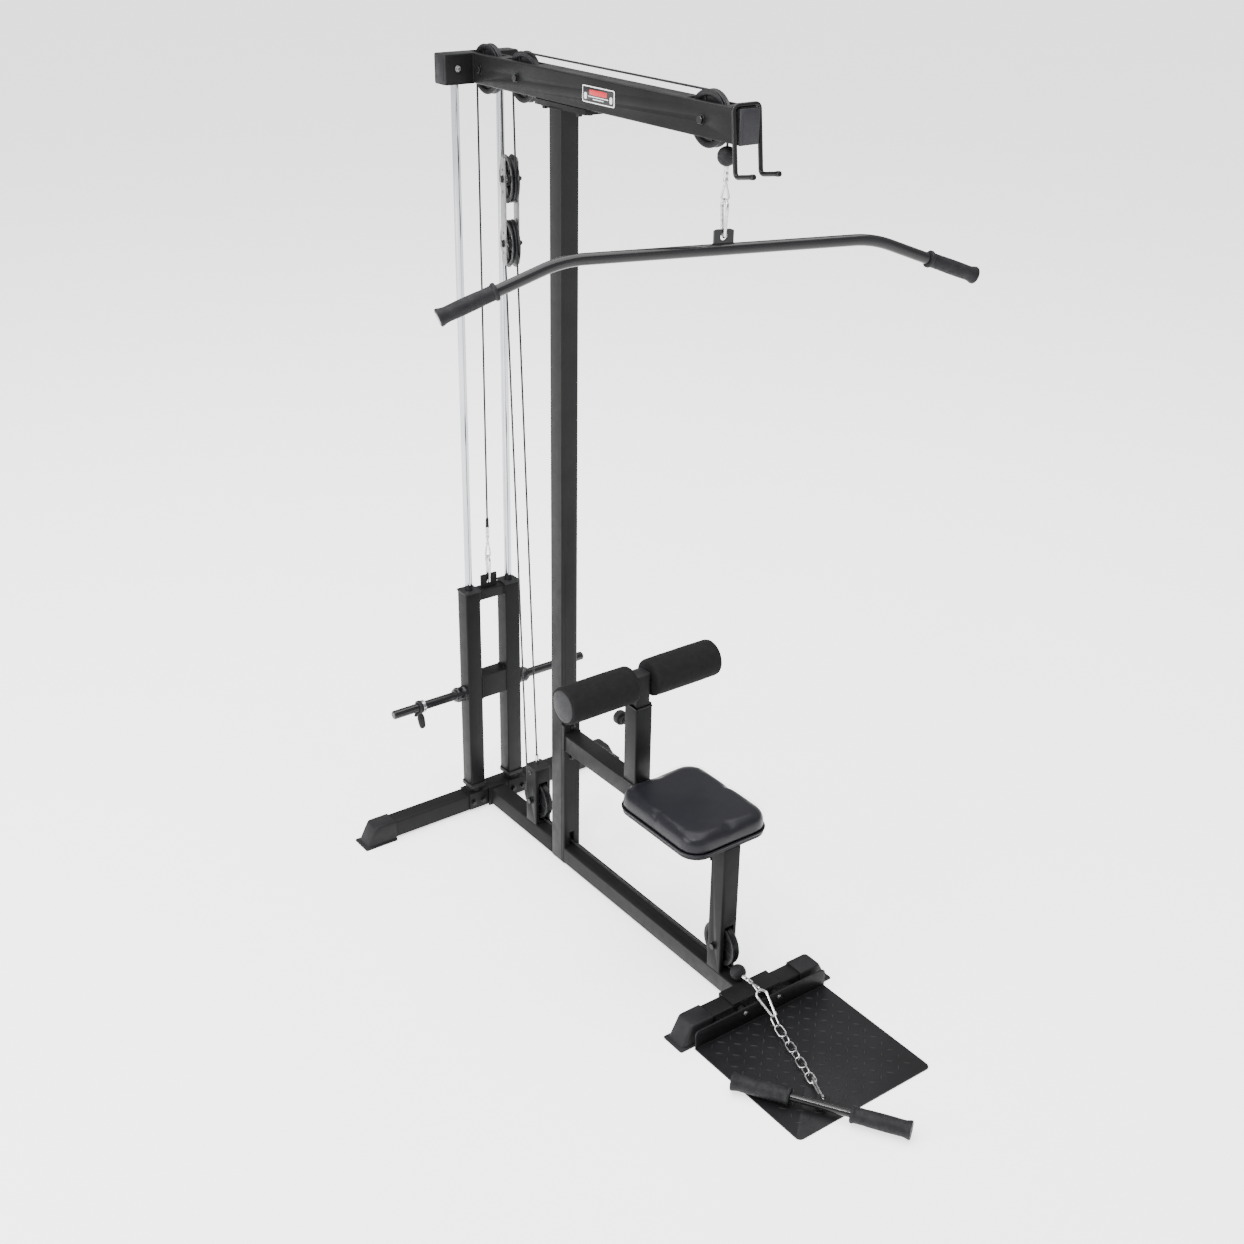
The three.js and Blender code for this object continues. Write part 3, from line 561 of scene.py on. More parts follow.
def frame_tubes():
    for node in ("rear_crossbar", "front_crossbar", "rear_rail", "front_rail", "mast", "top_beam",
                 "crosshead", "low_pulley_post", "seat_post", "upper_arm", "thigh_post",
                 "thigh_slider", "rod_base", "carriage_tube_left", "carriage_tube_right",
                 "carriage_head", "carriage_crossmember"):
        dress_cad(node, PAINT)


# ---- feet ----------------------------------------------------------------
def feet():
    """moulded caps: a sleeve with a sloped nose and softened corners, on a wide sole"""
    for node, side, end, y in (("rear_foot_left", -1, 388, REAR_Y), ("rear_foot_right", 1, 388, REAR_Y),
                               ("front_foot_left", -1, 188, FRONT_Y), ("front_foot_right", 1, 188, FRONT_Y)):
        place = Matrix.Translation((side * end, y, 0)) @ spin(0 if side > 0 else 180)
        shape = Shape()
        rings = []
        for z, nose, half in ((3.8, 43, 29.5), (7, 41.5, 29), (30, 30, 28.4), (54, 17.5, 27.8),
                (57, 15, 26.6), (58, 12, 24.8)):
            outline = rounded_outline(nose + 48, 2 * half, 9, 5, ((nose - 48) / 2, 0))
            square = rounded_outline(nose + 48, 2 * half, 0.6, 5, ((nose - 48) / 2, 0))
            points = [a if a[0] > -20 else b for a, b in zip(outline, square)]
            rings.append(shape.row(points, z, place))
        shape.faces(rings, caps=True)
        shape.slab(rounded_outline(100, 70, 5, 4, (2, 0)), 0, 4.2, 1.2, place)
        place_piece(node + "_cap", shape, PLASTIC, "frame", [node], 45)


# ---- foot plate ----------------------------------------------------------
def lozenge(shape, x, y, turn, length=20, width=4.4, height=1.2, base=3.9):
    """one raised lens of the tread"""
    half = length / 2
    place = Matrix.Translation((x, y, base)) @ spin(turn)
    steps = 6
    rim, crest = [], []
    for side in (1, -1):
        for i in range(steps):
            t = -1 + 2 * i / steps
            along, across = side * t * half, side * -(1 - t * t) * width / 2
            rim.append(shape.bm.verts.new(place @ Vector((along, across, 0))))
            crest.append(shape.bm.verts.new(place @ Vector((along * 0.82, across * 0.55, height))))
    shape.faces([rim, crest])
    shape.bm.faces.new(crest)


def foot_plate():
    low, high = span("foot_plate")
    lip_y = FRONT_Y - TUBE / 2 - 17
    front, half, thick, corner = low.y, high.x, 4, 12
    shape = Shape()
    outline = [(half, lip_y - 2), *reversed(quarter(half - corner, front + corner, corner, -90))]
    outline += [(-x, y) for x, y in reversed(outline)]
    shape.slab(list(reversed(outline)), 0, thick, 0.7)
    lip = [(-half, 0.3), (half, 0.3), *quarter(half - 10, high.z - 10, 10, 0),
           *quarter(10 - half, high.z - 10, 10, 90)]
    shape.slab(lip, 0, thick, 0.8, Matrix.Translation((0, lip_y, 0)) @ spin(90, "X"))
    shape.weld([(-half + 4, lip_y - 4.4, 4.2), (half - 4, lip_y - 4.4, 4.2)], 1.8, closed=False)
    place_piece("foot_plate_sheet", shape, TREAD, "frame", ["foot_plate"], 30)
    crests = Shape()
    pitch = 28
    for i in range(-7, 8):
        for j in range(13):
            x, y = i * pitch, lip_y - 20 - j * pitch
            inset = 17
            if abs(x) > half - inset or y < front + inset:
                continue
            if hypot(max(0, abs(x) - half + corner), max(0, front + corner - y)) > corner - 10:
                continue
            lozenge(crests, x, y, -45 if (i + j) % 2 else 45)
    # the raised lozenges take the lighter crest paint, a painted highlight
    place_piece("foot_plate_tread", crests, CREST_PAINTED_HIGHLIGHT, "frame", angle=50)

    spacers = Shape()
    for x, z, radius in ((-53, 38, 10), (53, 38, 10), (-130, 30, 8), (130, 30, 8)):
        spacers.rod(toward(Y, (x, lip_y - 0.3, z)), radius, 0.3, 17, 28)
    place_piece("foot_plate_spacers", spacers, PAINT, "frame")
    bolts = Shape()
    for x in (-53, 53):
        bolts.socket_bolt((x, lip_y - 4, 38), -Y, 6)
    place_piece("foot_plate_bolts", bolts, STEEL, "frame")


# ---- bolts, welds and plugs of the frame -----------------------------------
def frame_trim():
    bolts = Shape()
    front = MAST_Y - TUBE / 2 - FLANGE
    for z in (432, 340):
        bolts.hex_bolt((0, front, z), -Y, 13, 6)
        bolts.nut((0, MAST_Y + TUBE / 2, z), Y)
    for y in (390, 525):
        for x in (-14, 14):
            bolts.hex_bolt((x, y, BEAM_BOTTOM - FLANGE), -Z, 13, 6)
    face = REAR_Y - TUBE / 2
    for x in (-84, -52, 52, 84):
        bolts.hex_bolt((x, face - 4.3, 30), -Y, 13, 6)
    for side in (-1, 1):
        bolts.socket_bolt((side * TUBE / 2, LOW_REAR_Y, 216), X * side, 7)
        bolts.hex_bolt((side * 40, FRONT_Y - TUBE / 2, 30), -Y, 13, 4)
    for y in (-150, -20):
        bolts.socket_bolt((0, y, ARM_BOTTOM), -Z, 7)
    place_piece("frame_bolts", bolts, BLACK_STEEL, "frame")

    bright = Shape()
    for side in (-1, 1):
        bright.hex_bolt((side * 68, REAR_Y - TUBE / 2, TOP_Z + 1), -Y, 10, 4, 7.5)
    place_piece("crosshead_bolts", bright, STEEL, "frame")

    def ring(x0, x1, y0, y1, z):
        return [(x0, y0, z), (x1, y0, z), (x1, y1, z), (x0, y1, z)]

    beads = Shape()
    half = TUBE / 2 + 0.6
    for y in (LOW_REAR_Y, LOW_FRONT_Y):
        beads.weld(ring(-half + 3, half - 3, y - half, y + half, RAIL_TOP + 0.6))
    beads.weld(ring(-half, half, THIGH_Y - half, THIGH_Y + half, ARM_TOP + 0.4))
    beads.weld([(-half, LOW_FRONT_Y + half, ARM_TOP), (-half, LOW_FRONT_Y + half, ARM_BOTTOM - 0.6),
            (half, LOW_FRONT_Y + half, ARM_BOTTOM - 0.6), (half, LOW_FRONT_Y + half, ARM_TOP)],
            closed=False)
    beads.weld(ring(-half, half, MAST_Y - half, MAST_Y + half, BEAM_BOTTOM - FLANGE - 0.5))
    for y, low, high in ((front - 0.4, ARM_BOTTOM, ARM_TOP), (REAR_Y - TUBE / 2 - 5.6, 5, RAIL_TOP)):
        beads.weld([(-half, y, low), (half, y, low), (half, y, high), (-half, y, high)])
    beads.weld([(-100, REAR_Y - half + 1, BEAM_BOTTOM + 1), (-25, REAR_Y - half + 1, BEAM_BOTTOM + 1)],
               1.2, closed=False)
    for side in (-1, 1):
        beads.weld([(side * half, REAR_Y - half - 0.2, BEAM_BOTTOM + 3),
                    (side * half, REAR_Y - half - 0.2, BEAM_TOP - 3)], closed=False)
    place_piece("frame_welds", beads, PAINT, "frame", angle=60)

    plugs = Shape()
    for side in (-1, 1):
        place = toward(X * side, (side * 100, REAR_Y, TOP_Z))
        plugs.slab(rounded_outline(TUBE, 70, 4), 0, 2.6, 0.9, place)
        plugs.slab(rounded_outline(TUBE - 16, 54, 4), 2.4, 3.2, 0.4, place)
    plugs.slab(rounded_outline(TUBE, TUBE, 4), 0, 2.4, 0.9, toward(Z, (0, LOW_REAR_Y, 230.2)))
    place_piece("tube_plugs", plugs, PLASTIC, "frame")

    low, high = span("beam_end_cap")
    cap = Shape()
    cap.block((low.x, low.y - 0.6, low.z), (high.x, low.y + 3.6, high.z), 1.4)
    cap.block((low.x + 7, low.y - 1.4, low.z + 7), (high.x - 7, low.y + 2, high.z - 7), 0.7)
    cap.block((low.x + 3.5, low.y + 3, low.z + 3.5), (high.x - 3.5, high.y, high.z - 3.5), 0.5)
    place_piece("beam_end_plug", cap, CAP_GREY, "frame", ["beam_end_cap"])


def badge():
    """plain bordered plate on the beam, with no lettering"""
    place = toward(-X, (-TUBE / 2, 303, TOP_Z))
    for name, outline, z0, z1, colour in (
            ("badge_border", rounded_outline(118, 35, 4), 0, 0.9, (0.75, 0.75, 0.75)),
            ("badge_field", rounded_outline(114, 31, 3), 0.7, 1.1, (0.008, 0.008, 0.009)),
            ("badge_band", rounded_outline(64, 11, 2, 4, (0, 5)), 0.9, 1.3, (0.4, 0.012, 0.02))):
        look = enamel(name + "_enamel", colour)
        place_piece(name, Shape().slab(outline, z0, z1, 0.1, place), look, "frame")
    marks = Shape()
    for x in (-47, 47):
        marks.slab(rounded_outline(10, 14, 4, 5, (x, -4)), 0.9, 1.3, 0.1, place)
    for y, length in ((-4, 74), (-9, 40)):
        marks.slab(rounded_outline(length, 2, 0.9, 4, (0, y)), 0.9, 1.3, 0.1, place)
    place_piece("badge_marks", marks, enamel("badge_silver", (0.55, 0.55, 0.56)), "frame")


# ---- pulleys, axles and cables --------------------------------------------
def pulley_shape(place):
    """grooved wheel with a recessed web, ribs and a hub"""
    shape = Shape()
    half_side = [(17, 9), (19.5, 8.4), (20.5, 4.6), (43.5, 4.6), (45.5, 9.2), (46.5, 9.9), (56.3, 9.9),
                 (57.4, 9), (57.4, 7.6), (52.6, 2.8), (51.5, 1.2)]
    profile = [(8.2, 9), *half_side, *[(r, -d) for r, d in reversed(half_side)], (8.2, -9)]
    shape.lathe(list(reversed(profile)), place, 72)
    for i in range(6):
        turn = place @ spin(60 * i + 12)
        shape.block((19, -1.6, -7.8), (45.5, 1.6, 7.8), 0.8, turn)
    return shape


def bearing_shape(place):
    shape = Shape()
    shape.sleeve(place, 5.3, 8.3, -10.4, 10.4, 32)
    for side in (-1, 1):
        shape.sleeve(place, 8.3, 12.6, side * 9, side * 9.7, 32)
    return shape


def pulleys():
    fixed = {"top_rear": (TOP_REAR_Y, TOP_Z), "top_middle": (TOP_MIDDLE_Y, TOP_Z),
            "top_front": (TOP_FRONT_Y, TOP_Z), "low_rear": (LOW_REAR_Y, LOW_Z),
            "low_front": (LOW_FRONT_Y, LOW_Z)}
    wheels = [(f"pulley_{name}", f"{name}_pulley", X, (0, *at)) for name, at in fixed.items()]
    across = spin(BLOCK_TWIST) @ X
    wheels += [("pulley_block_upper", "block_upper_pulley", across, (0, BLOCK_Y, BLOCK_UPPER)),
               ("pulley_block_lower", "block_lower_pulley", across, (0, BLOCK_Y, BLOCK_LOWER))]
    for node, body, axis, at in wheels:
        place = toward(axis, at)
        place_piece(node + "_wheel", pulley_shape(place), NYLON, body, [node])
        place_piece(node + "_bearing", bearing_shape(place), ZINC, body)

    for name, (y, z) in fixed.items():
        shape = Shape().hex_bolt((-TUBE / 2, y, z), -X, 16, 6, 10.5)
        shape.nut((TUBE / 2, y, z), X, 16, 10.5, 5)
        shape.rod(toward(X, (0, y, z)), 5, -26, 26, 28)
        for side in (-1, 1):
            shape.sleeve(toward(X * side, (0, y, z)), 5.2, 7.5, 10.6, 22, 28)
        place_piece(f"axle_{name}_bolt", shape, BLACK_STEEL, "frame", [f"axle_{name}"])

    plates = Shape()
    bolts = Shape()
    for side in (-1, 1):
        flat = Matrix.Translation((0, BLOCK_Y,
                (BLOCK_UPPER + BLOCK_LOWER) / 2)) @ spin(BLOCK_TWIST) @ spin(90, "Y")
        inner, outer = side * (BLOCK_FACE - 2.9), side * BLOCK_FACE
        plates.slab(rounded_outline(258, 40, 12), min(inner, outer), max(inner, outer), 0.5, flat)
        for z in (BLOCK_UPPER, BLOCK_LOWER):
            centre = Vector((0, BLOCK_Y, z)) + across * side * BLOCK_FACE
            if side < 0:
                bolts.hex_bolt(centre, -across, 16, 5)
            else:
                bolts.nut(centre, across, 16, 9.5, 5)
    for z in (BLOCK_UPPER, BLOCK_LOWER):
        place = toward(across, (0, BLOCK_Y, z))
        bolts.rod(place, 5, -17, 17)
        for side in (-1, 1):
            bolts.sleeve(place, 5.2, 8, side * 10.6, side * 14.4)
    place_piece("block_plates", plates, STEEL, "block", ["pulley_block"])
    place_piece("block_bolts", bolts, BLACK_STEEL, "block")
    # dark discs on the side plates stand in for open holes: painted shade of the block's inside, over the
    # black of the pulleys behind
    hole_shade = Shape()
    for side in (-1, 1):
        for z in (BLOCK_UPPER - 30, BLOCK_UPPER + 22, BLOCK_LOWER - 22, BLOCK_LOWER + 26):
            centre = Vector((0, BLOCK_Y, z)) + across * side * (BLOCK_FACE - 0.2)
            hole_shade.lathe([(0, 0), (3.6, 0), (3.6, 0.45), (2.9, 0.6), (2.6, 0.25), (0, 0.25)],
                        toward(across * side, centre), 20)
    place_piece("block_holes_painted_shade", hole_shade, RUBBER, "block")


def wrap(y, z, start, stop, across=Y):
    """a cable's turn round a pulley, angles in degrees from +Y towards +Z"""
    return arc((0, y, z), PITCH, start, stop, across, Z, max(4, round(abs(stop - start) / 7)))


def cables():
    """each run of cable is its own piece: still ones ride on the frame or the block, the others are left on
    no body
    """
    lean = radians(-BLOCK_TWIST)
    across = Vector((sin(lean), cos(lean), 0))
    upper = wrap(BLOCK_Y, BLOCK_UPPER, 0, -180, across)
    lower = wrap(BLOCK_Y, BLOCK_LOWER, 0, 180, across)
    rear = wrap(TOP_REAR_Y, TOP_Z, 0, 180)
    over = TOP_Z + PITCH
    front = [*wrap(TOP_MIDDLE_Y, TOP_Z, 0, 90), *dense([(0, TOP_MIDDLE_Y - 1, over), (0, 0, over)], 40),
             *wrap(TOP_FRONT_Y, TOP_Z, 90, 180)]
    low = [*dense([(0, LOW_FRONT_Y, LOW_Z - PITCH), (0, LOW_REAR_Y - 2, LOW_Z - PITCH)], 40),
           *wrap(LOW_REAR_Y, LOW_Z, -90, 0)]
    anchor = Vector((0, LOW_REAR_Y + 6, 262))

    def run(name, route, body=None, replaces=()):
        shape = Shape().tube(route, CABLE_R, 12)
        return place_piece(name, shape, SHEATH, body, replaces, 80)

    run("high_cable_over_rear_pulley", rear, "frame", ["high_cable"])
    run("high_cable_along_beam", front, "frame")
    run("high_cable_under_block", upper, "block")
    run("low_cable_along_rail", low, "frame", ["low_cable"])
    run("low_cable_over_block", lower, "block")

    for name, top, bottom, step in (("high_cable_to_block", rear[-1], upper[0], 12),
            ("high_cable_from_block", front[0], upper[-1], 12),
            ("low_cable_to_block", low[-1], lower[0], 40), ("low_cable_to_anchor", anchor, lower[-1], 40)):
        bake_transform(run(name, dense([top, bottom], step)))

    top, bottom = front[-1], Vector((0, LAT_Y, 2017))
    drop = run("high_cable_to_lat_bar", dense([top, bottom], 4))
    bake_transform(drop)
    near, far = Vector(low[0]), Vector((0, -262, LOW_Z - PITCH))
    out = run("low_cable_to_row_bar", dense([near, far], 4))
    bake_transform(out)

    foot, head = Vector((0, REAR_Y, 893)), rear[0]
    rise = run("high_cable_to_carriage", dense([foot, head], 60), "frame")
    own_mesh(rise)

    ends = Shape().lathe([(0, -34), (4.6, -34), (5.2, -32), (5.2, -2), (4.4, 0), (0, 0)], toward(Z, anchor),
            24)
    place_piece("low_cable_ferrule", ends, ZINC, "frame")


# ---- snap hooks, thimbles and stop balls ------------------------------------
def snap_hook(shape, top, bottom, across, width=30, narrow=16, wire=3.6):
    """pear-shaped spring hook between two points, wide end at the top"""
    top, bottom = Vector(top), Vector(bottom)
    down = (bottom - top).normalized()
    across = (Vector(across) - down * Vector(across).dot(down)).normalized()
    wide, small = width / 2 - wire, narrow / 2 - wire
    upper = top + down * (wide + wire)
    lower = bottom - down * (small + wire)
    route = arc(upper, wide, 180, 0, across, -down, 14) + arc(lower, small, 0, -180, across, -down, 10)
    shape.tube(dense([*route, route[0]], 8)[:-1], wire, 14, closed=True)
    hinge = lower + across * (small + 0.3)
    gate = upper + across * wide
    shape.rod(toward(gate - hinge, hinge), wire + 0.9, -5, 4, 20)
    shape.rod(toward(gate - hinge, gate), wire + 0.7, -3, 5, 20)


def thimble(shape, top, bottom, across, width=20, wire=2.4):
    """the cable's eye: a teardrop loop under its ferrule"""
    top, bottom = Vector(top), Vector(bottom)
    down = (bottom - top).normalized()
    across = (Vector(across) - down * Vector(across).dot(down)).normalized()
    r = width / 2 - wire
    centre = bottom - down * (r + wire)
    bowl = arc(centre, r, 25, -205, across, -down, 16)
    shape.tube(dense([top, *bowl, top], 5)[:-1], wire, 12, closed=True)


def ferrule(shape, start, stop, radius=5.4):
    """crimped sleeve with two pressed waists"""
    start, stop = Vector(start), Vector(stop)
    n = (stop - start).length
    waist = radius - 0.9
    shape.lathe([(0, 0), (radius - 1, 0), (radius, 1), (radius, n * 0.22), (waist, n * 0.3),
            (waist, n * 0.4), (radius, n * 0.48), (radius, n * 0.56), (waist, n * 0.64), (waist, n * 0.74),
            (radius, n * 0.82), (radius, n - 1), (radius - 1, n), (0, n)], toward(stop - start, start), 28)


def stop_ball(place, radius=20):
    """rubber ball in two halves, with a moulded seam"""
    points = []
    for i in range(25):
        a = radians(-78 + 156 * i / 24)
        seam = 0.9 * exp(-(a / 0.05) ** 2)
        points.append((radius * cos(a) - seam, radius * sin(a)))
    return Shape().lathe([(0, points[0][1]), *points, (0, points[-1][1])], place, 48)


def lat_hardware():
    place_piece("high_stop_ball", stop_ball(toward(Z, (0, LAT_Y, 1999))), RUBBER, "lat_hook",
                ["high_stop"])
    yaw = radians(LAT_YAW)
    normal = Vector((-sin(yaw), cos(yaw), 0))
    eye = Shape()
    ferrule(eye, (0, LAT_Y, 1981), (0, LAT_Y, 1948))
    thimble(eye, (0, LAT_Y, 1949), (0, LAT_Y, 1908), X - Y * 0.6)
    place_piece("high_cable_eye", eye, ZINC, "lat_hook")
    hook = Shape()
    snap_hook(hook, (0, LAT_Y, 1916), (0, LAT_Y, 1834.5), normal, 34, 20, 3.6)
    place_piece("lat_snap_hook", hook, ZINC, "lat_handle", ["lat_carabiner"])


def carriage_hook():
    """the snap hook and ferrule that lift the carriage"""
    top = CARRIAGE_TOP
    shape = Shape()
    snap_hook(shape, (0, REAR_Y, top + 92), (0, REAR_Y, top + 7.5), Y + X * 0.2, 32, 20, 3.6)
    thimble(shape, (0, REAR_Y, top + 144), (0, REAR_Y, top + 85), X, 20)
    ferrule(shape, (0, REAR_Y, top + 176), (0, REAR_Y, top + 143))
    place_piece("carriage_snap_hook", shape, ZINC, "carriage")
    sleeve = Shape().lathe([(0, 0), (4.6, 0), (4.2, 22), (3, 27), (0, 27)],
                           toward(Z, (0, REAR_Y, top + 175)), 24)
    place_piece("carriage_cable_sleeve", sleeve, RUBBER, "carriage")


# ---- lat bar and row bar ----------------------------------------------------
def grip(shape, length, bar_r, place, radius=16.0, collar=2.8):
    """rubber sleeve with a rolled collar, fine rings and a flared end"""
    profile = [(bar_r, 0), (radius + collar - 1.3, 0), (radius + collar, 1.6), (radius + collar, 6),
               (radius + collar / 2, 8), (radius - 0.6, 10)]
    rings = 5
    for i in range(rings):
        at = 14 + i * 4
        profile += [(radius, at), (radius - 0.8, at + 2)]
    for i in range(9):
        t = i / 8
        profile.append((radius + 0.5 * sin(pi * t), 36 + (length - 56) * t))
    profile += [(radius + 0.4, length - 14), (radius + 2.2, length - 7), (radius + 3.2, length - 3),
                (radius + 2.8, length - 0.6), (radius + 1.6, length), (6, length + 0.2), (4, length - 1.4),
                (0, length - 1.6)]
    shape.lathe([(0, 0.2), *profile], place, 56)


def tab_plate(shape, width, height, thick, hole, hole_at, place):
    """flat eye with a round hole, standing on a bar"""
    steps = 24
    centre = Vector((0, hole_at, 0))
    rim = [centre + Vector((cos(tau * i / steps), sin(tau * i / steps), 0)) * hole
           for i in range(steps)]
    outer = []
    for p in rim:
        heading = (p - centre).normalized()
        reach = min(((width / 2) / abs(heading.x)) if heading.x else 1e9,
                    ((height - hole_at) / heading.y) if heading.y > 0 else 1e9,
                    (hole_at / -heading.y) if heading.y < 0 else 1e9)
        outer.append(centre + heading * reach)
    rows = []
    for points, z in ((rim, 0), (outer, 0), (outer, thick), (rim, thick)):
        rows.append([shape.bm.verts.new(place @ (p + Z * (z - thick / 2))) for p in points])
    shape.faces(rows, close_route=True)


def lat_bar():
    turn = Matrix.Translation((0, LAT_Y, 0)) @ spin(LAT_YAW)
    radius, straight, end = 12.5, 345, 605
    slope = radians(20.5)
    low = LAT_Z - (end - straight) * tan(slope)
    route = filleted([(-end + 2, 0, low), (-straight, 0, LAT_Z), (straight, 0, LAT_Z), (end - 2, 0, low)],
            46, 12)
    bar = Shape().tube([turn @ p for p in route], radius, 40)
    tab_plate(bar, 44, 33, 6, 8, 18, turn @ toward(-Y, (0, 0, LAT_Z + radius - 4)))
    top = LAT_Z + radius
    for side in (-1, 1):
        bar.weld([turn @ Vector((-22, side * 4, top - 0.8)), turn @ Vector((22, side * 4, top - 0.8))], 1.8,
                closed=False)
    place_piece("lat_bar_tube", bar, BAR_PAINT, "lat_handle", ["lat_bar"], 40)
    start = (482 - straight) / cos(slope)
    for node, side in (("lat_grip_left", -1), ("lat_grip_right", 1)):
        heading = Vector((side * cos(slope), 0, -sin(slope)))
        at = Vector((side * straight, 0, LAT_Z)) + heading * start
        shape = Shape()
        grip(shape, 129, radius, turn @ toward(heading, at))
        place_piece(node + "_sleeve", shape, GRIP, "lat_handle", [node], 50)


ROW_MIDDLE = Vector((-111, -699, 26.8))
ROW_ALONG = Vector((0.533, -0.846, 0)).normalized()
ROW_SIDE = Vector((0.846, 0.533, 0)).normalized()


def row_bar():
    bar = Shape().tube([ROW_MIDDLE - ROW_ALONG * 204, ROW_MIDDLE, ROW_MIDDLE + ROW_ALONG * 204], 9, 32)
    flat = Matrix((ROW_ALONG, ROW_SIDE, Z)).transposed().to_4x4()
    tab_plate(bar, 28, 28, 5, 6, 18, Matrix.Translation(ROW_MIDDLE + ROW_SIDE * 4) @ flat)
    place_piece("row_bar_tube", bar, BAR_PAINT, "row_handle", ["row_bar"], 40)
    for node, side in (("row_grip_left", -1), ("row_grip_right", 1)):
        shape = Shape()
        grip(shape, 137, 9, toward(ROW_ALONG * side, ROW_MIDDLE + ROW_ALONG * side * 70), 18.8, 1.6)
        place_piece(node + "_sleeve", shape, GRIP, "row_handle", [node], 50)


def chain_link(shape, a, b, twist, length=39, width=23, wire=2.0):
    """oval welded link lying between two points, rolled about its own length"""
    a, b = Vector(a), Vector(b)
    heading = (b - a).normalized()
    middle = (a + b) / 2
    side = Matrix.Rotation(radians(twist), 3, heading) @ heading.cross(Z).normalized()
    r = width / 2 - wire
    reach = length / 2 - wire - r
    route = arc(middle + heading * reach, r, -90, 90, heading, side, 10)
    route += arc(middle - heading * reach, r, 90, 270, heading, side, 10)
    shape.tube(route, wire, 12, closed=True)


def row_hardware():
    ball = Vector((0, -278, 76))
    place_piece("low_stop_ball", stop_ball(toward(Y, ball)), RUBBER, "row_hook", ["row_chain"])
    shape = Shape()
    ferrule(shape, ball + Vector((0, -19, 0)), (0, -331, 75.5))
    thimble(shape, (0, -330, 75.5), (0, -362, 72), Z, 18)
    snap_hook(shape, (2, -352, 72), (-2, -420, 33), X, 36, 18, 3.4)
    place_piece("row_snap_hook", shape, ZINC, "row_hook")

    links = Shape()
    route = [Vector(p) for p in ((-2, -410, 33), (-8, -438, 20), (-14, -465, 16), (-22, -492, 15),
            (-30, -519, 15), (-38, -546, 14.5), (-47, -572, 14.5), (-55, -598, 14.5), (-63, -625, 14.5))]
    for i, (a, b) in enumerate(zip(route, route[1:])):
        chain_link(links, a, b, 78 if i % 2 == 0 else 12)
    place_piece("row_chain_links", links, ZINC, "row_hook")

    last = Shape()
    eye = ROW_MIDDLE + ROW_SIDE * 22
    snap_hook(last, route[-1] + Vector((1.5, 7, 2)), eye + Vector((-3, -5.5, 0)), Z, 19, 15, 2.6)
    place_piece("row_bar_hook", last, ZINC, "row_hook")


def bar_hanger():
    hook = [(-33, -228, 1981), (-33, -172, 1971), (-33, -157, 2105.4)]
    other = [(-x, y, z) for x, y, z in reversed(hook)]
    shape = Shape().tube(filleted([*hook, *other], 11, 10), 5, 24)
    for p in (hook[0], other[-1]):
        shape.lathe([(0, -9), (5.8, -9), (5.8, -1), (5, 0.6), (0, 0.6)], toward((0, -1, 0.178), p), 24)
    place_piece("bar_hanger_rod", shape, BLACK_STEEL, "frame", ["bar_hanger"], 45)
    beads = Shape()
    for y in (-163, -151):
        beads.weld([(-20, y, BEAM_TOP + 0.6), (20, y, BEAM_TOP + 0.6)], 1.6, closed=False)
    place_piece("bar_hanger_welds", beads, PAINT, "frame", angle=60)


# ---- guide rods and weight carriage -----------------------------------------
def guide_rods():
    for side, x in (("left", -ROD_X), ("right", ROD_X)):
        low, high = span(f"guide_rod_{side}")
        shape = Shape().lathe([(0, low.z), (9.6, low.z), (10, low.z + 0.6), (10, high.z - 1), (9, high.z),
                (0, high.z)], toward(Z, (x, REAR_Y, 0)), 64)
        place_piece(f"guide_rod_{side}_bar", shape, CHROME, "frame", [f"guide_rod_{side}"])
        low, high = span(f"bumper_{side}")
        shape = Shape().lathe([(10.6, low.z), (23, low.z), (24, low.z + 1), (24, low.z + 3),
                (22.6, low.z + 4.4), (22.6, low.z + 6), (24, low.z + 7.4), (24, high.z - 1.6),
                (22.4, high.z), (10.6, high.z)], toward(Z, (x, REAR_Y, 0)), 56)
        place_piece(f"bumper_{side}_ring", shape, RUBBER, "frame", [f"bumper_{side}"])


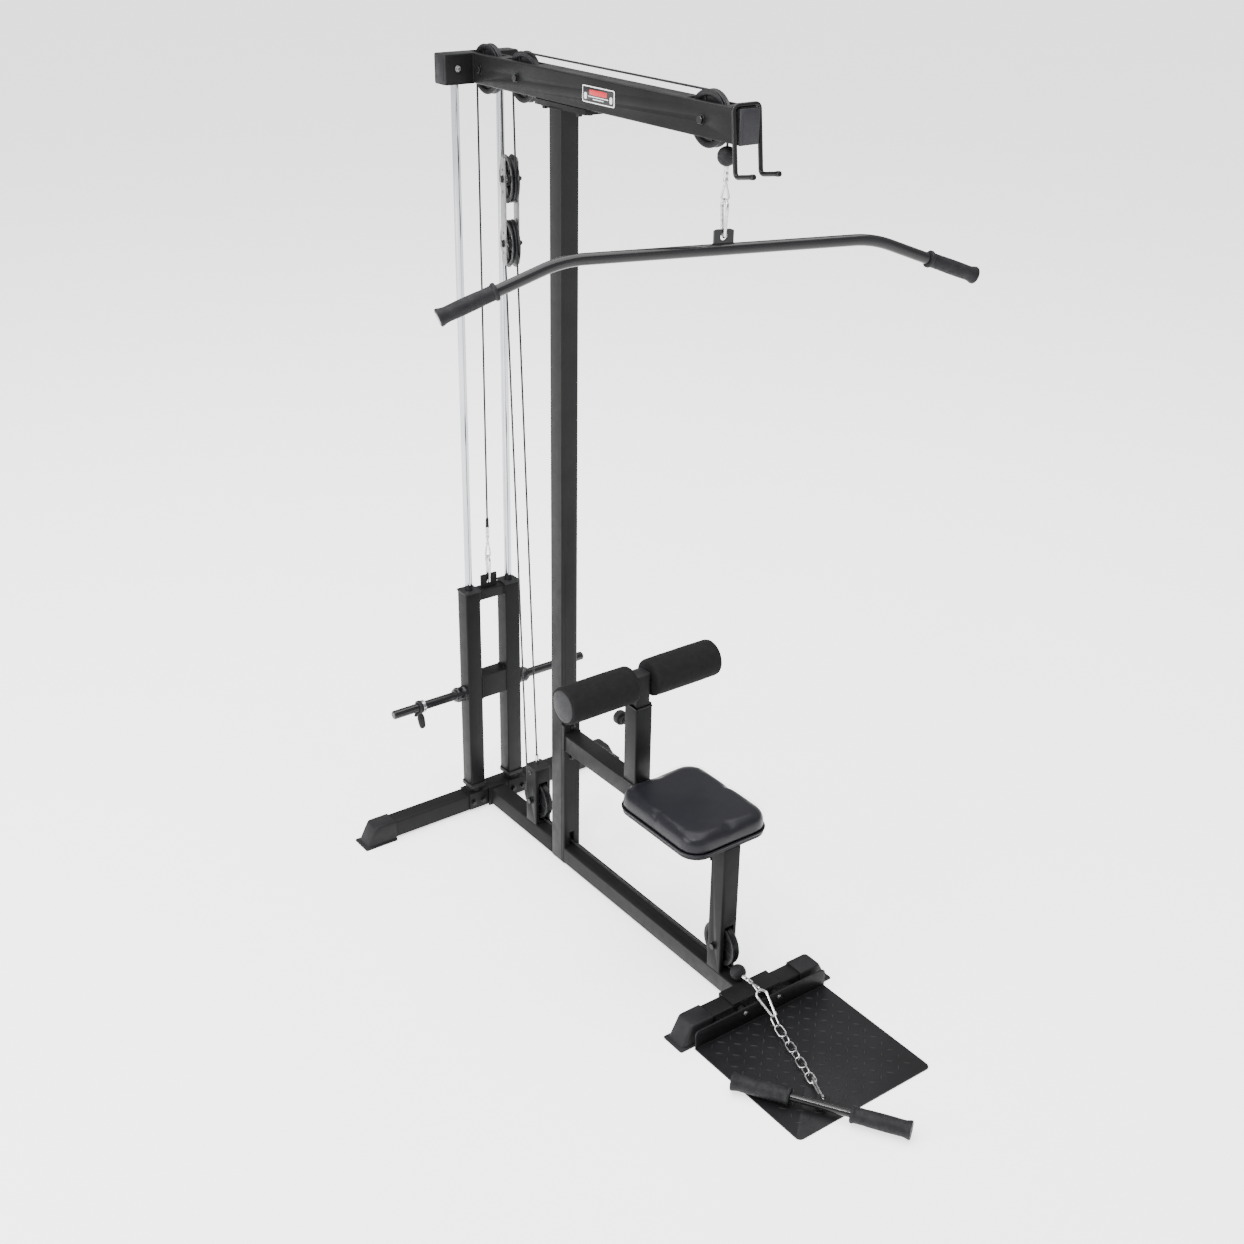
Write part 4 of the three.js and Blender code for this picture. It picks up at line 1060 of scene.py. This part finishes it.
def carriage():
    bush = Shape()
    outline = rounded_outline(51, 51, 5)
    for x in (-ROD_X, ROD_X):
        for low, high in ((CARRIAGE_TOP, CARRIAGE_TOP + 4), (CARRIAGE_BOTTOM + 1, CARRIAGE_BOTTOM + 13)):
            place = Matrix.Translation((x, REAR_Y, 0))
            rim = [(10.7 * cos(tau * i / 28 + radians(-84)),
                    10.7 * sin(tau * i / 28 + radians(-84))) for i in range(len(outline))]
            rows = []
            ease = 0.9
            inner = [(px * 0.982, py * 0.982) for px, py in outline]
            for points, z in ((rim, low), (inner, low), (outline, low + ease), (outline, high - ease),
                    (inner, high), (rim, high)):
                rows.append(bush.row(points, z, place))
            bush.faces(rows, close_route=True)
    place_piece("carriage_bushings", bush, PLASTIC, "carriage", angle=50)

    for side, sign in (("left", -1), ("right", 1)):
        place = toward(X * sign, (0, REAR_Y, HORN_Z))
        low, high = span(f"weight_horn_{side}")
        end, start = max(abs(low.x), abs(high.x)), min(abs(low.x), abs(high.x))
        shape = Shape().lathe([(0, start), (22, start), (22, start + 6), (20.6, start + 8),
                (20.6, start + 20), (22, start + 22), (22, start + 26), (21, start + 28), (18, start + 29),
                (18, start + 34), (12.5, start + 36), (12.5, end - 3), (9.8, end), (0, end)], place, 56)
        place_piece(f"weight_horn_{side}_bar", shape, BAR_PAINT, "carriage",
                [f"weight_horn_{side}"])
        bolts = Shape().hex_bolt((sign * (start + 14), REAR_Y - 20.6, HORN_Z), -Y, 10, 4, 6)
        bolts.hex_bolt((sign * (ROD_X - 23), REAR_Y - 10, 428), -X * sign, 10, 4, 7)
        place_piece(f"weight_horn_{side}_bolts", bolts, BLACK_STEEL, "carriage")

        ring = Shape().lathe([(12.9, COLLAR_X - 9.6), (16.6, COLLAR_X - 9.6), (17.4, COLLAR_X - 8.8),
                              (17.4, COLLAR_X - 0.6), (16.6, COLLAR_X), (12.9, COLLAR_X)], place, 48)
        place_piece(f"collar_{side}_ring", ring, ZINC, f"{side}_collar")
        clamp = Shape().lathe([(12.9, COLLAR_X + 0.2), (17.8, COLLAR_X + 0.2), (18.8, COLLAR_X + 1.2),
                (18.8, COLLAR_X + 8.6), (17.4, COLLAR_X + 10), (12.9, COLLAR_X + 10)], place, 48)
        stem = Vector((sign * (COLLAR_X + 5), REAR_Y, HORN_Z - 15))
        lean = toward(-Z, stem) @ spin(9 * sign, "Y")
        rows = []
        for d, w, t in ((0, 5, 5), (7, 5.5, 5), (11, 8, 5.4), (20, 10, 5.6), (40, 9.4, 5), (51, 8, 4.4),
                (54.5, 5, 3)):
            rows.append(clamp.row(rounded_outline(2 * w, 2 * t, 2.8, 4), d, lean))
        clamp.faces(rows, caps=True)
        clamp.lathe([(0, -5), (3.4, -5), (4.4, 10), (3.6, 13), (0, 13)],
                    toward((sign * 0.5, 0, -0.86), stem + Vector((sign * 8, 0, 1))), 20)
        place_piece(f"collar_{side}_clamp", clamp, PLASTIC, f"{side}_collar",
                [f"collar_{side}"])

    beads = Shape()
    inner = ROD_X - 23.6
    for side in (-1, 1):
        x = side * inner
        for low, high, half in ((358, 430, 23), (662, 692, 18)):
            beads.weld([(x, REAR_Y - half, low), (x, REAR_Y + half, low), (x, REAR_Y + half, high),
                        (x, REAR_Y - half, high)], 1.8)
    for side in (-1, 1):
        beads.weld([(-24, REAR_Y + side * 3.6, CARRIAGE_TOP + 0.6),
                (24, REAR_Y + side * 3.6, CARRIAGE_TOP + 0.6)], 1.6, closed=False)
    place_piece("carriage_welds", beads, PAINT, "carriage", angle=60)


# ---- thigh rest -------------------------------------------------------------
def thigh_rest():
    for hand, side in (("left", -1), ("right", 1)):
        node, body = f"roller_{hand}", f"{hand}_roller"
        place = toward(X * side, (0, THIGH_Y, ROLLER_Z))
        profile = [(13.2, 27.5), (38, 27.5), (43, 28), (46.4, 30.5), (47.6, 35)]
        for i in range(13):
            t = i / 12
            profile.append((47.7 + 0.35 * sin(pi * t), 40 + 176 * t))
        profile += [(47.4, 222), (46, 226.5), (43.4, 228.6), (41.2, 228.2), (40.6, 227), (13.2, 227)]
        shape = Shape().lathe(profile, place, 96)
        for v in shape.bm.verts:
            bulge = noise.noise(v.co * 0.02) * 0.5
            radial = Vector((0, v.co.y - THIGH_Y, v.co.z - ROLLER_Z))
            if radial.length > 30:
                v.co += radial.normalized() * bulge
        foam_piece = place_piece(node + "_foam", shape, FOAM, body, [node], 60)
        disc = Shape().lathe([(0, 232.4), (12.8, 232.4), (12.8, 227.2), (40, 227.2), (40.6, 228.6),
                (39, 229.6), (30, 230.6), (15, 233.8), (0, 234.6)], place, 64)
        place_piece(node + "_end_disc", disc, DISC_GREY, body)

    trim = Shape()
    trim.slab(rounded_outline(40, 40, 4), 0, 3, 1, toward(Z, (0, THIGH_Y, 718)))
    place_piece("thigh_slider_plug", trim, PLASTIC, "thigh_rest")
    collar = Shape()
    for x0, x1, y0, y1 in ((-25, 25, -25, -21.6), (20.6, 25, -25, 25), (-25, 25, 20.6, 25),
            (-25, -21.6, -25, 25)):
        collar.block((x0, THIGH_Y + y0, 630.2), (x1, THIGH_Y + y1, 634), 0.7)
    collar.block((25.2, THIGH_Y - 14, 596), (31, THIGH_Y + 12, 634), 1.4)
    place_piece("thigh_post_collar", collar, PLASTIC, "frame")

    wall = THIGH_Y + TUBE / 2
    pin = Shape().lathe([(0, wall - 2.6), (4.9, wall - 2.6), (4.9, wall + 28.6), (10.4, wall + 28.6),
            (11, wall + 30), (10, wall + 36), (13, wall + 38.4), (17.4, wall + 39.6), (18.5, wall + 42),
            (18.5, wall + 55), (17.2, wall + 57.6), (12, wall + 58.8), (0, wall + 59)],
            toward(Y, (0, 0, PIN_Z)), 48)
    place_piece("thigh_pin_knob", pin, PLASTIC, "height_pin", ["thigh_pin"])


# ---- seat -------------------------------------------------------------------
def seat_outline(inset, corner=50, steps=14):
    low, high = span("seat_pad")
    w, h = high.x - low.x - 2 * inset, high.y - low.y - 2 * inset
    return rounded_outline(w, h, corner - inset * 0.6, steps, ((low.x + high.x) / 2, (low.y + high.y) / 2))


def swell(obj, cap):
    """puffs the pad up under its cover by cloth simulation, and holds back what moves too far"""
    before = [v.co.copy() for v in obj.data.vertices]
    cloth = obj.modifiers.new("cloth", "CLOTH")
    cloth.settings.use_pressure = True
    cloth.settings.uniform_pressure_force = 4
    cloth.settings.tension_stiffness = cloth.settings.compression_stiffness = 60
    cloth.settings.bending_stiffness = 6
    cloth.settings.effector_weights.gravity = 0
    cloth.settings.quality = 5
    cloth.point_cache.frame_start, cloth.point_cache.frame_end = 1, 20
    scene = bpy.context.scene
    for step in range(1, 21):
        scene.frame_set(step)
    evaluated = obj.evaluated_get(bpy.context.evaluated_depsgraph_get())
    after = [v.co.copy() for v in evaluated.data.vertices]
    obj.modifiers.clear()
    scene.frame_set(1)
    base = min(p.z for p in before)
    for v, a, b in zip(obj.data.vertices, before, after):
        move = b - a
        move.x, move.y = move.x * SEAM_HOLD, move.y * SEAM_HOLD
        if move.length > cap * MM:
            move *= cap * MM / move.length
        free = min(1.0, (a.z - base) / (14 * MM))
        v.co = a + move * free


def seat():
    board = Shape().slab(seat_outline(2.5), ARM_TOP + 0.4, 425.5, 1.6)
    place_piece("seat_board", board, PLASTIC, "frame")

    base, top = 426, 471
    rims = []
    levels = [(4.5, base), (3.0, base + 3), (3.0, base + 14), (4.2, base + 24), (6.8, base + 31.5),
            (11, base + 37), (17, base + 40.6), (26, base + 42.6)]
    shape = Shape()
    for inset, z in levels:
        rims.append(shape.row(seat_outline(inset), z))
    shape.faces(rims)
    centre = Vector((0, (span("seat_pad")[0].y + span("seat_pad")[1].y) / 2, top))
    inner = rims[-1]
    for k in range(1, 9):
        t = k / 9
        row = [shape.bm.verts.new(v.co.lerp(centre, t)) for v in rims[-1]]
        shape.faces([inner, row])
        inner = row
    shape.bm.faces.new(inner)
    shape.bm.faces.new(list(reversed(rims[0])))
    obj = place_piece("seat_cushion", shape, VINYL, None, ["seat_pad"], 70)
    remesh = obj.modifiers.new("remesh", "REMESH")
    remesh.mode = "VOXEL"
    remesh.voxel_size = 4.5 * MM
    evaluated = obj.evaluated_get(bpy.context.evaluated_depsgraph_get())
    mesh = bpy.data.meshes.new_from_object(evaluated)
    obj.modifiers.clear()
    obj.data = mesh
    swell(obj, 5)
    smooth = obj.modifiers.new("smooth", "SMOOTH")
    smooth.iterations = 10
    finer = obj.modifiers.new("finer", "SUBSURF")
    finer.levels = finer.render_levels = 1
    shade(obj.data, 80)
    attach(obj, "frame")

    piping = Shape()
    loop = [Vector((x, y, base + 0.6)) for x, y in seat_outline(1.6)]
    piping.tube(loop, 2.4, 10, closed=True)
    place_piece("seat_piping", piping, VINYL, "frame", angle=80)
    stitches = Shape()
    route = dense([Vector((x, y, top - 9.2)) for x, y in seat_outline(3.2)], 3)
    for a, b in zip(route[::2], route[1::2]):
        stitches.tube([a, (a + b) / 2, b], 0.45, 6)
    place_piece("seat_stitches", stitches, RUBBER, "frame", angle=80)


make_camera()
make_studio()
frame_tubes()
feet()
foot_plate()
frame_trim()
badge()
pulleys()
cables()
lat_hardware()
carriage_hook()
lat_bar()
row_bar()
row_hardware()
bar_hanger()
guide_rods()
carriage()
thigh_rest()
seat()
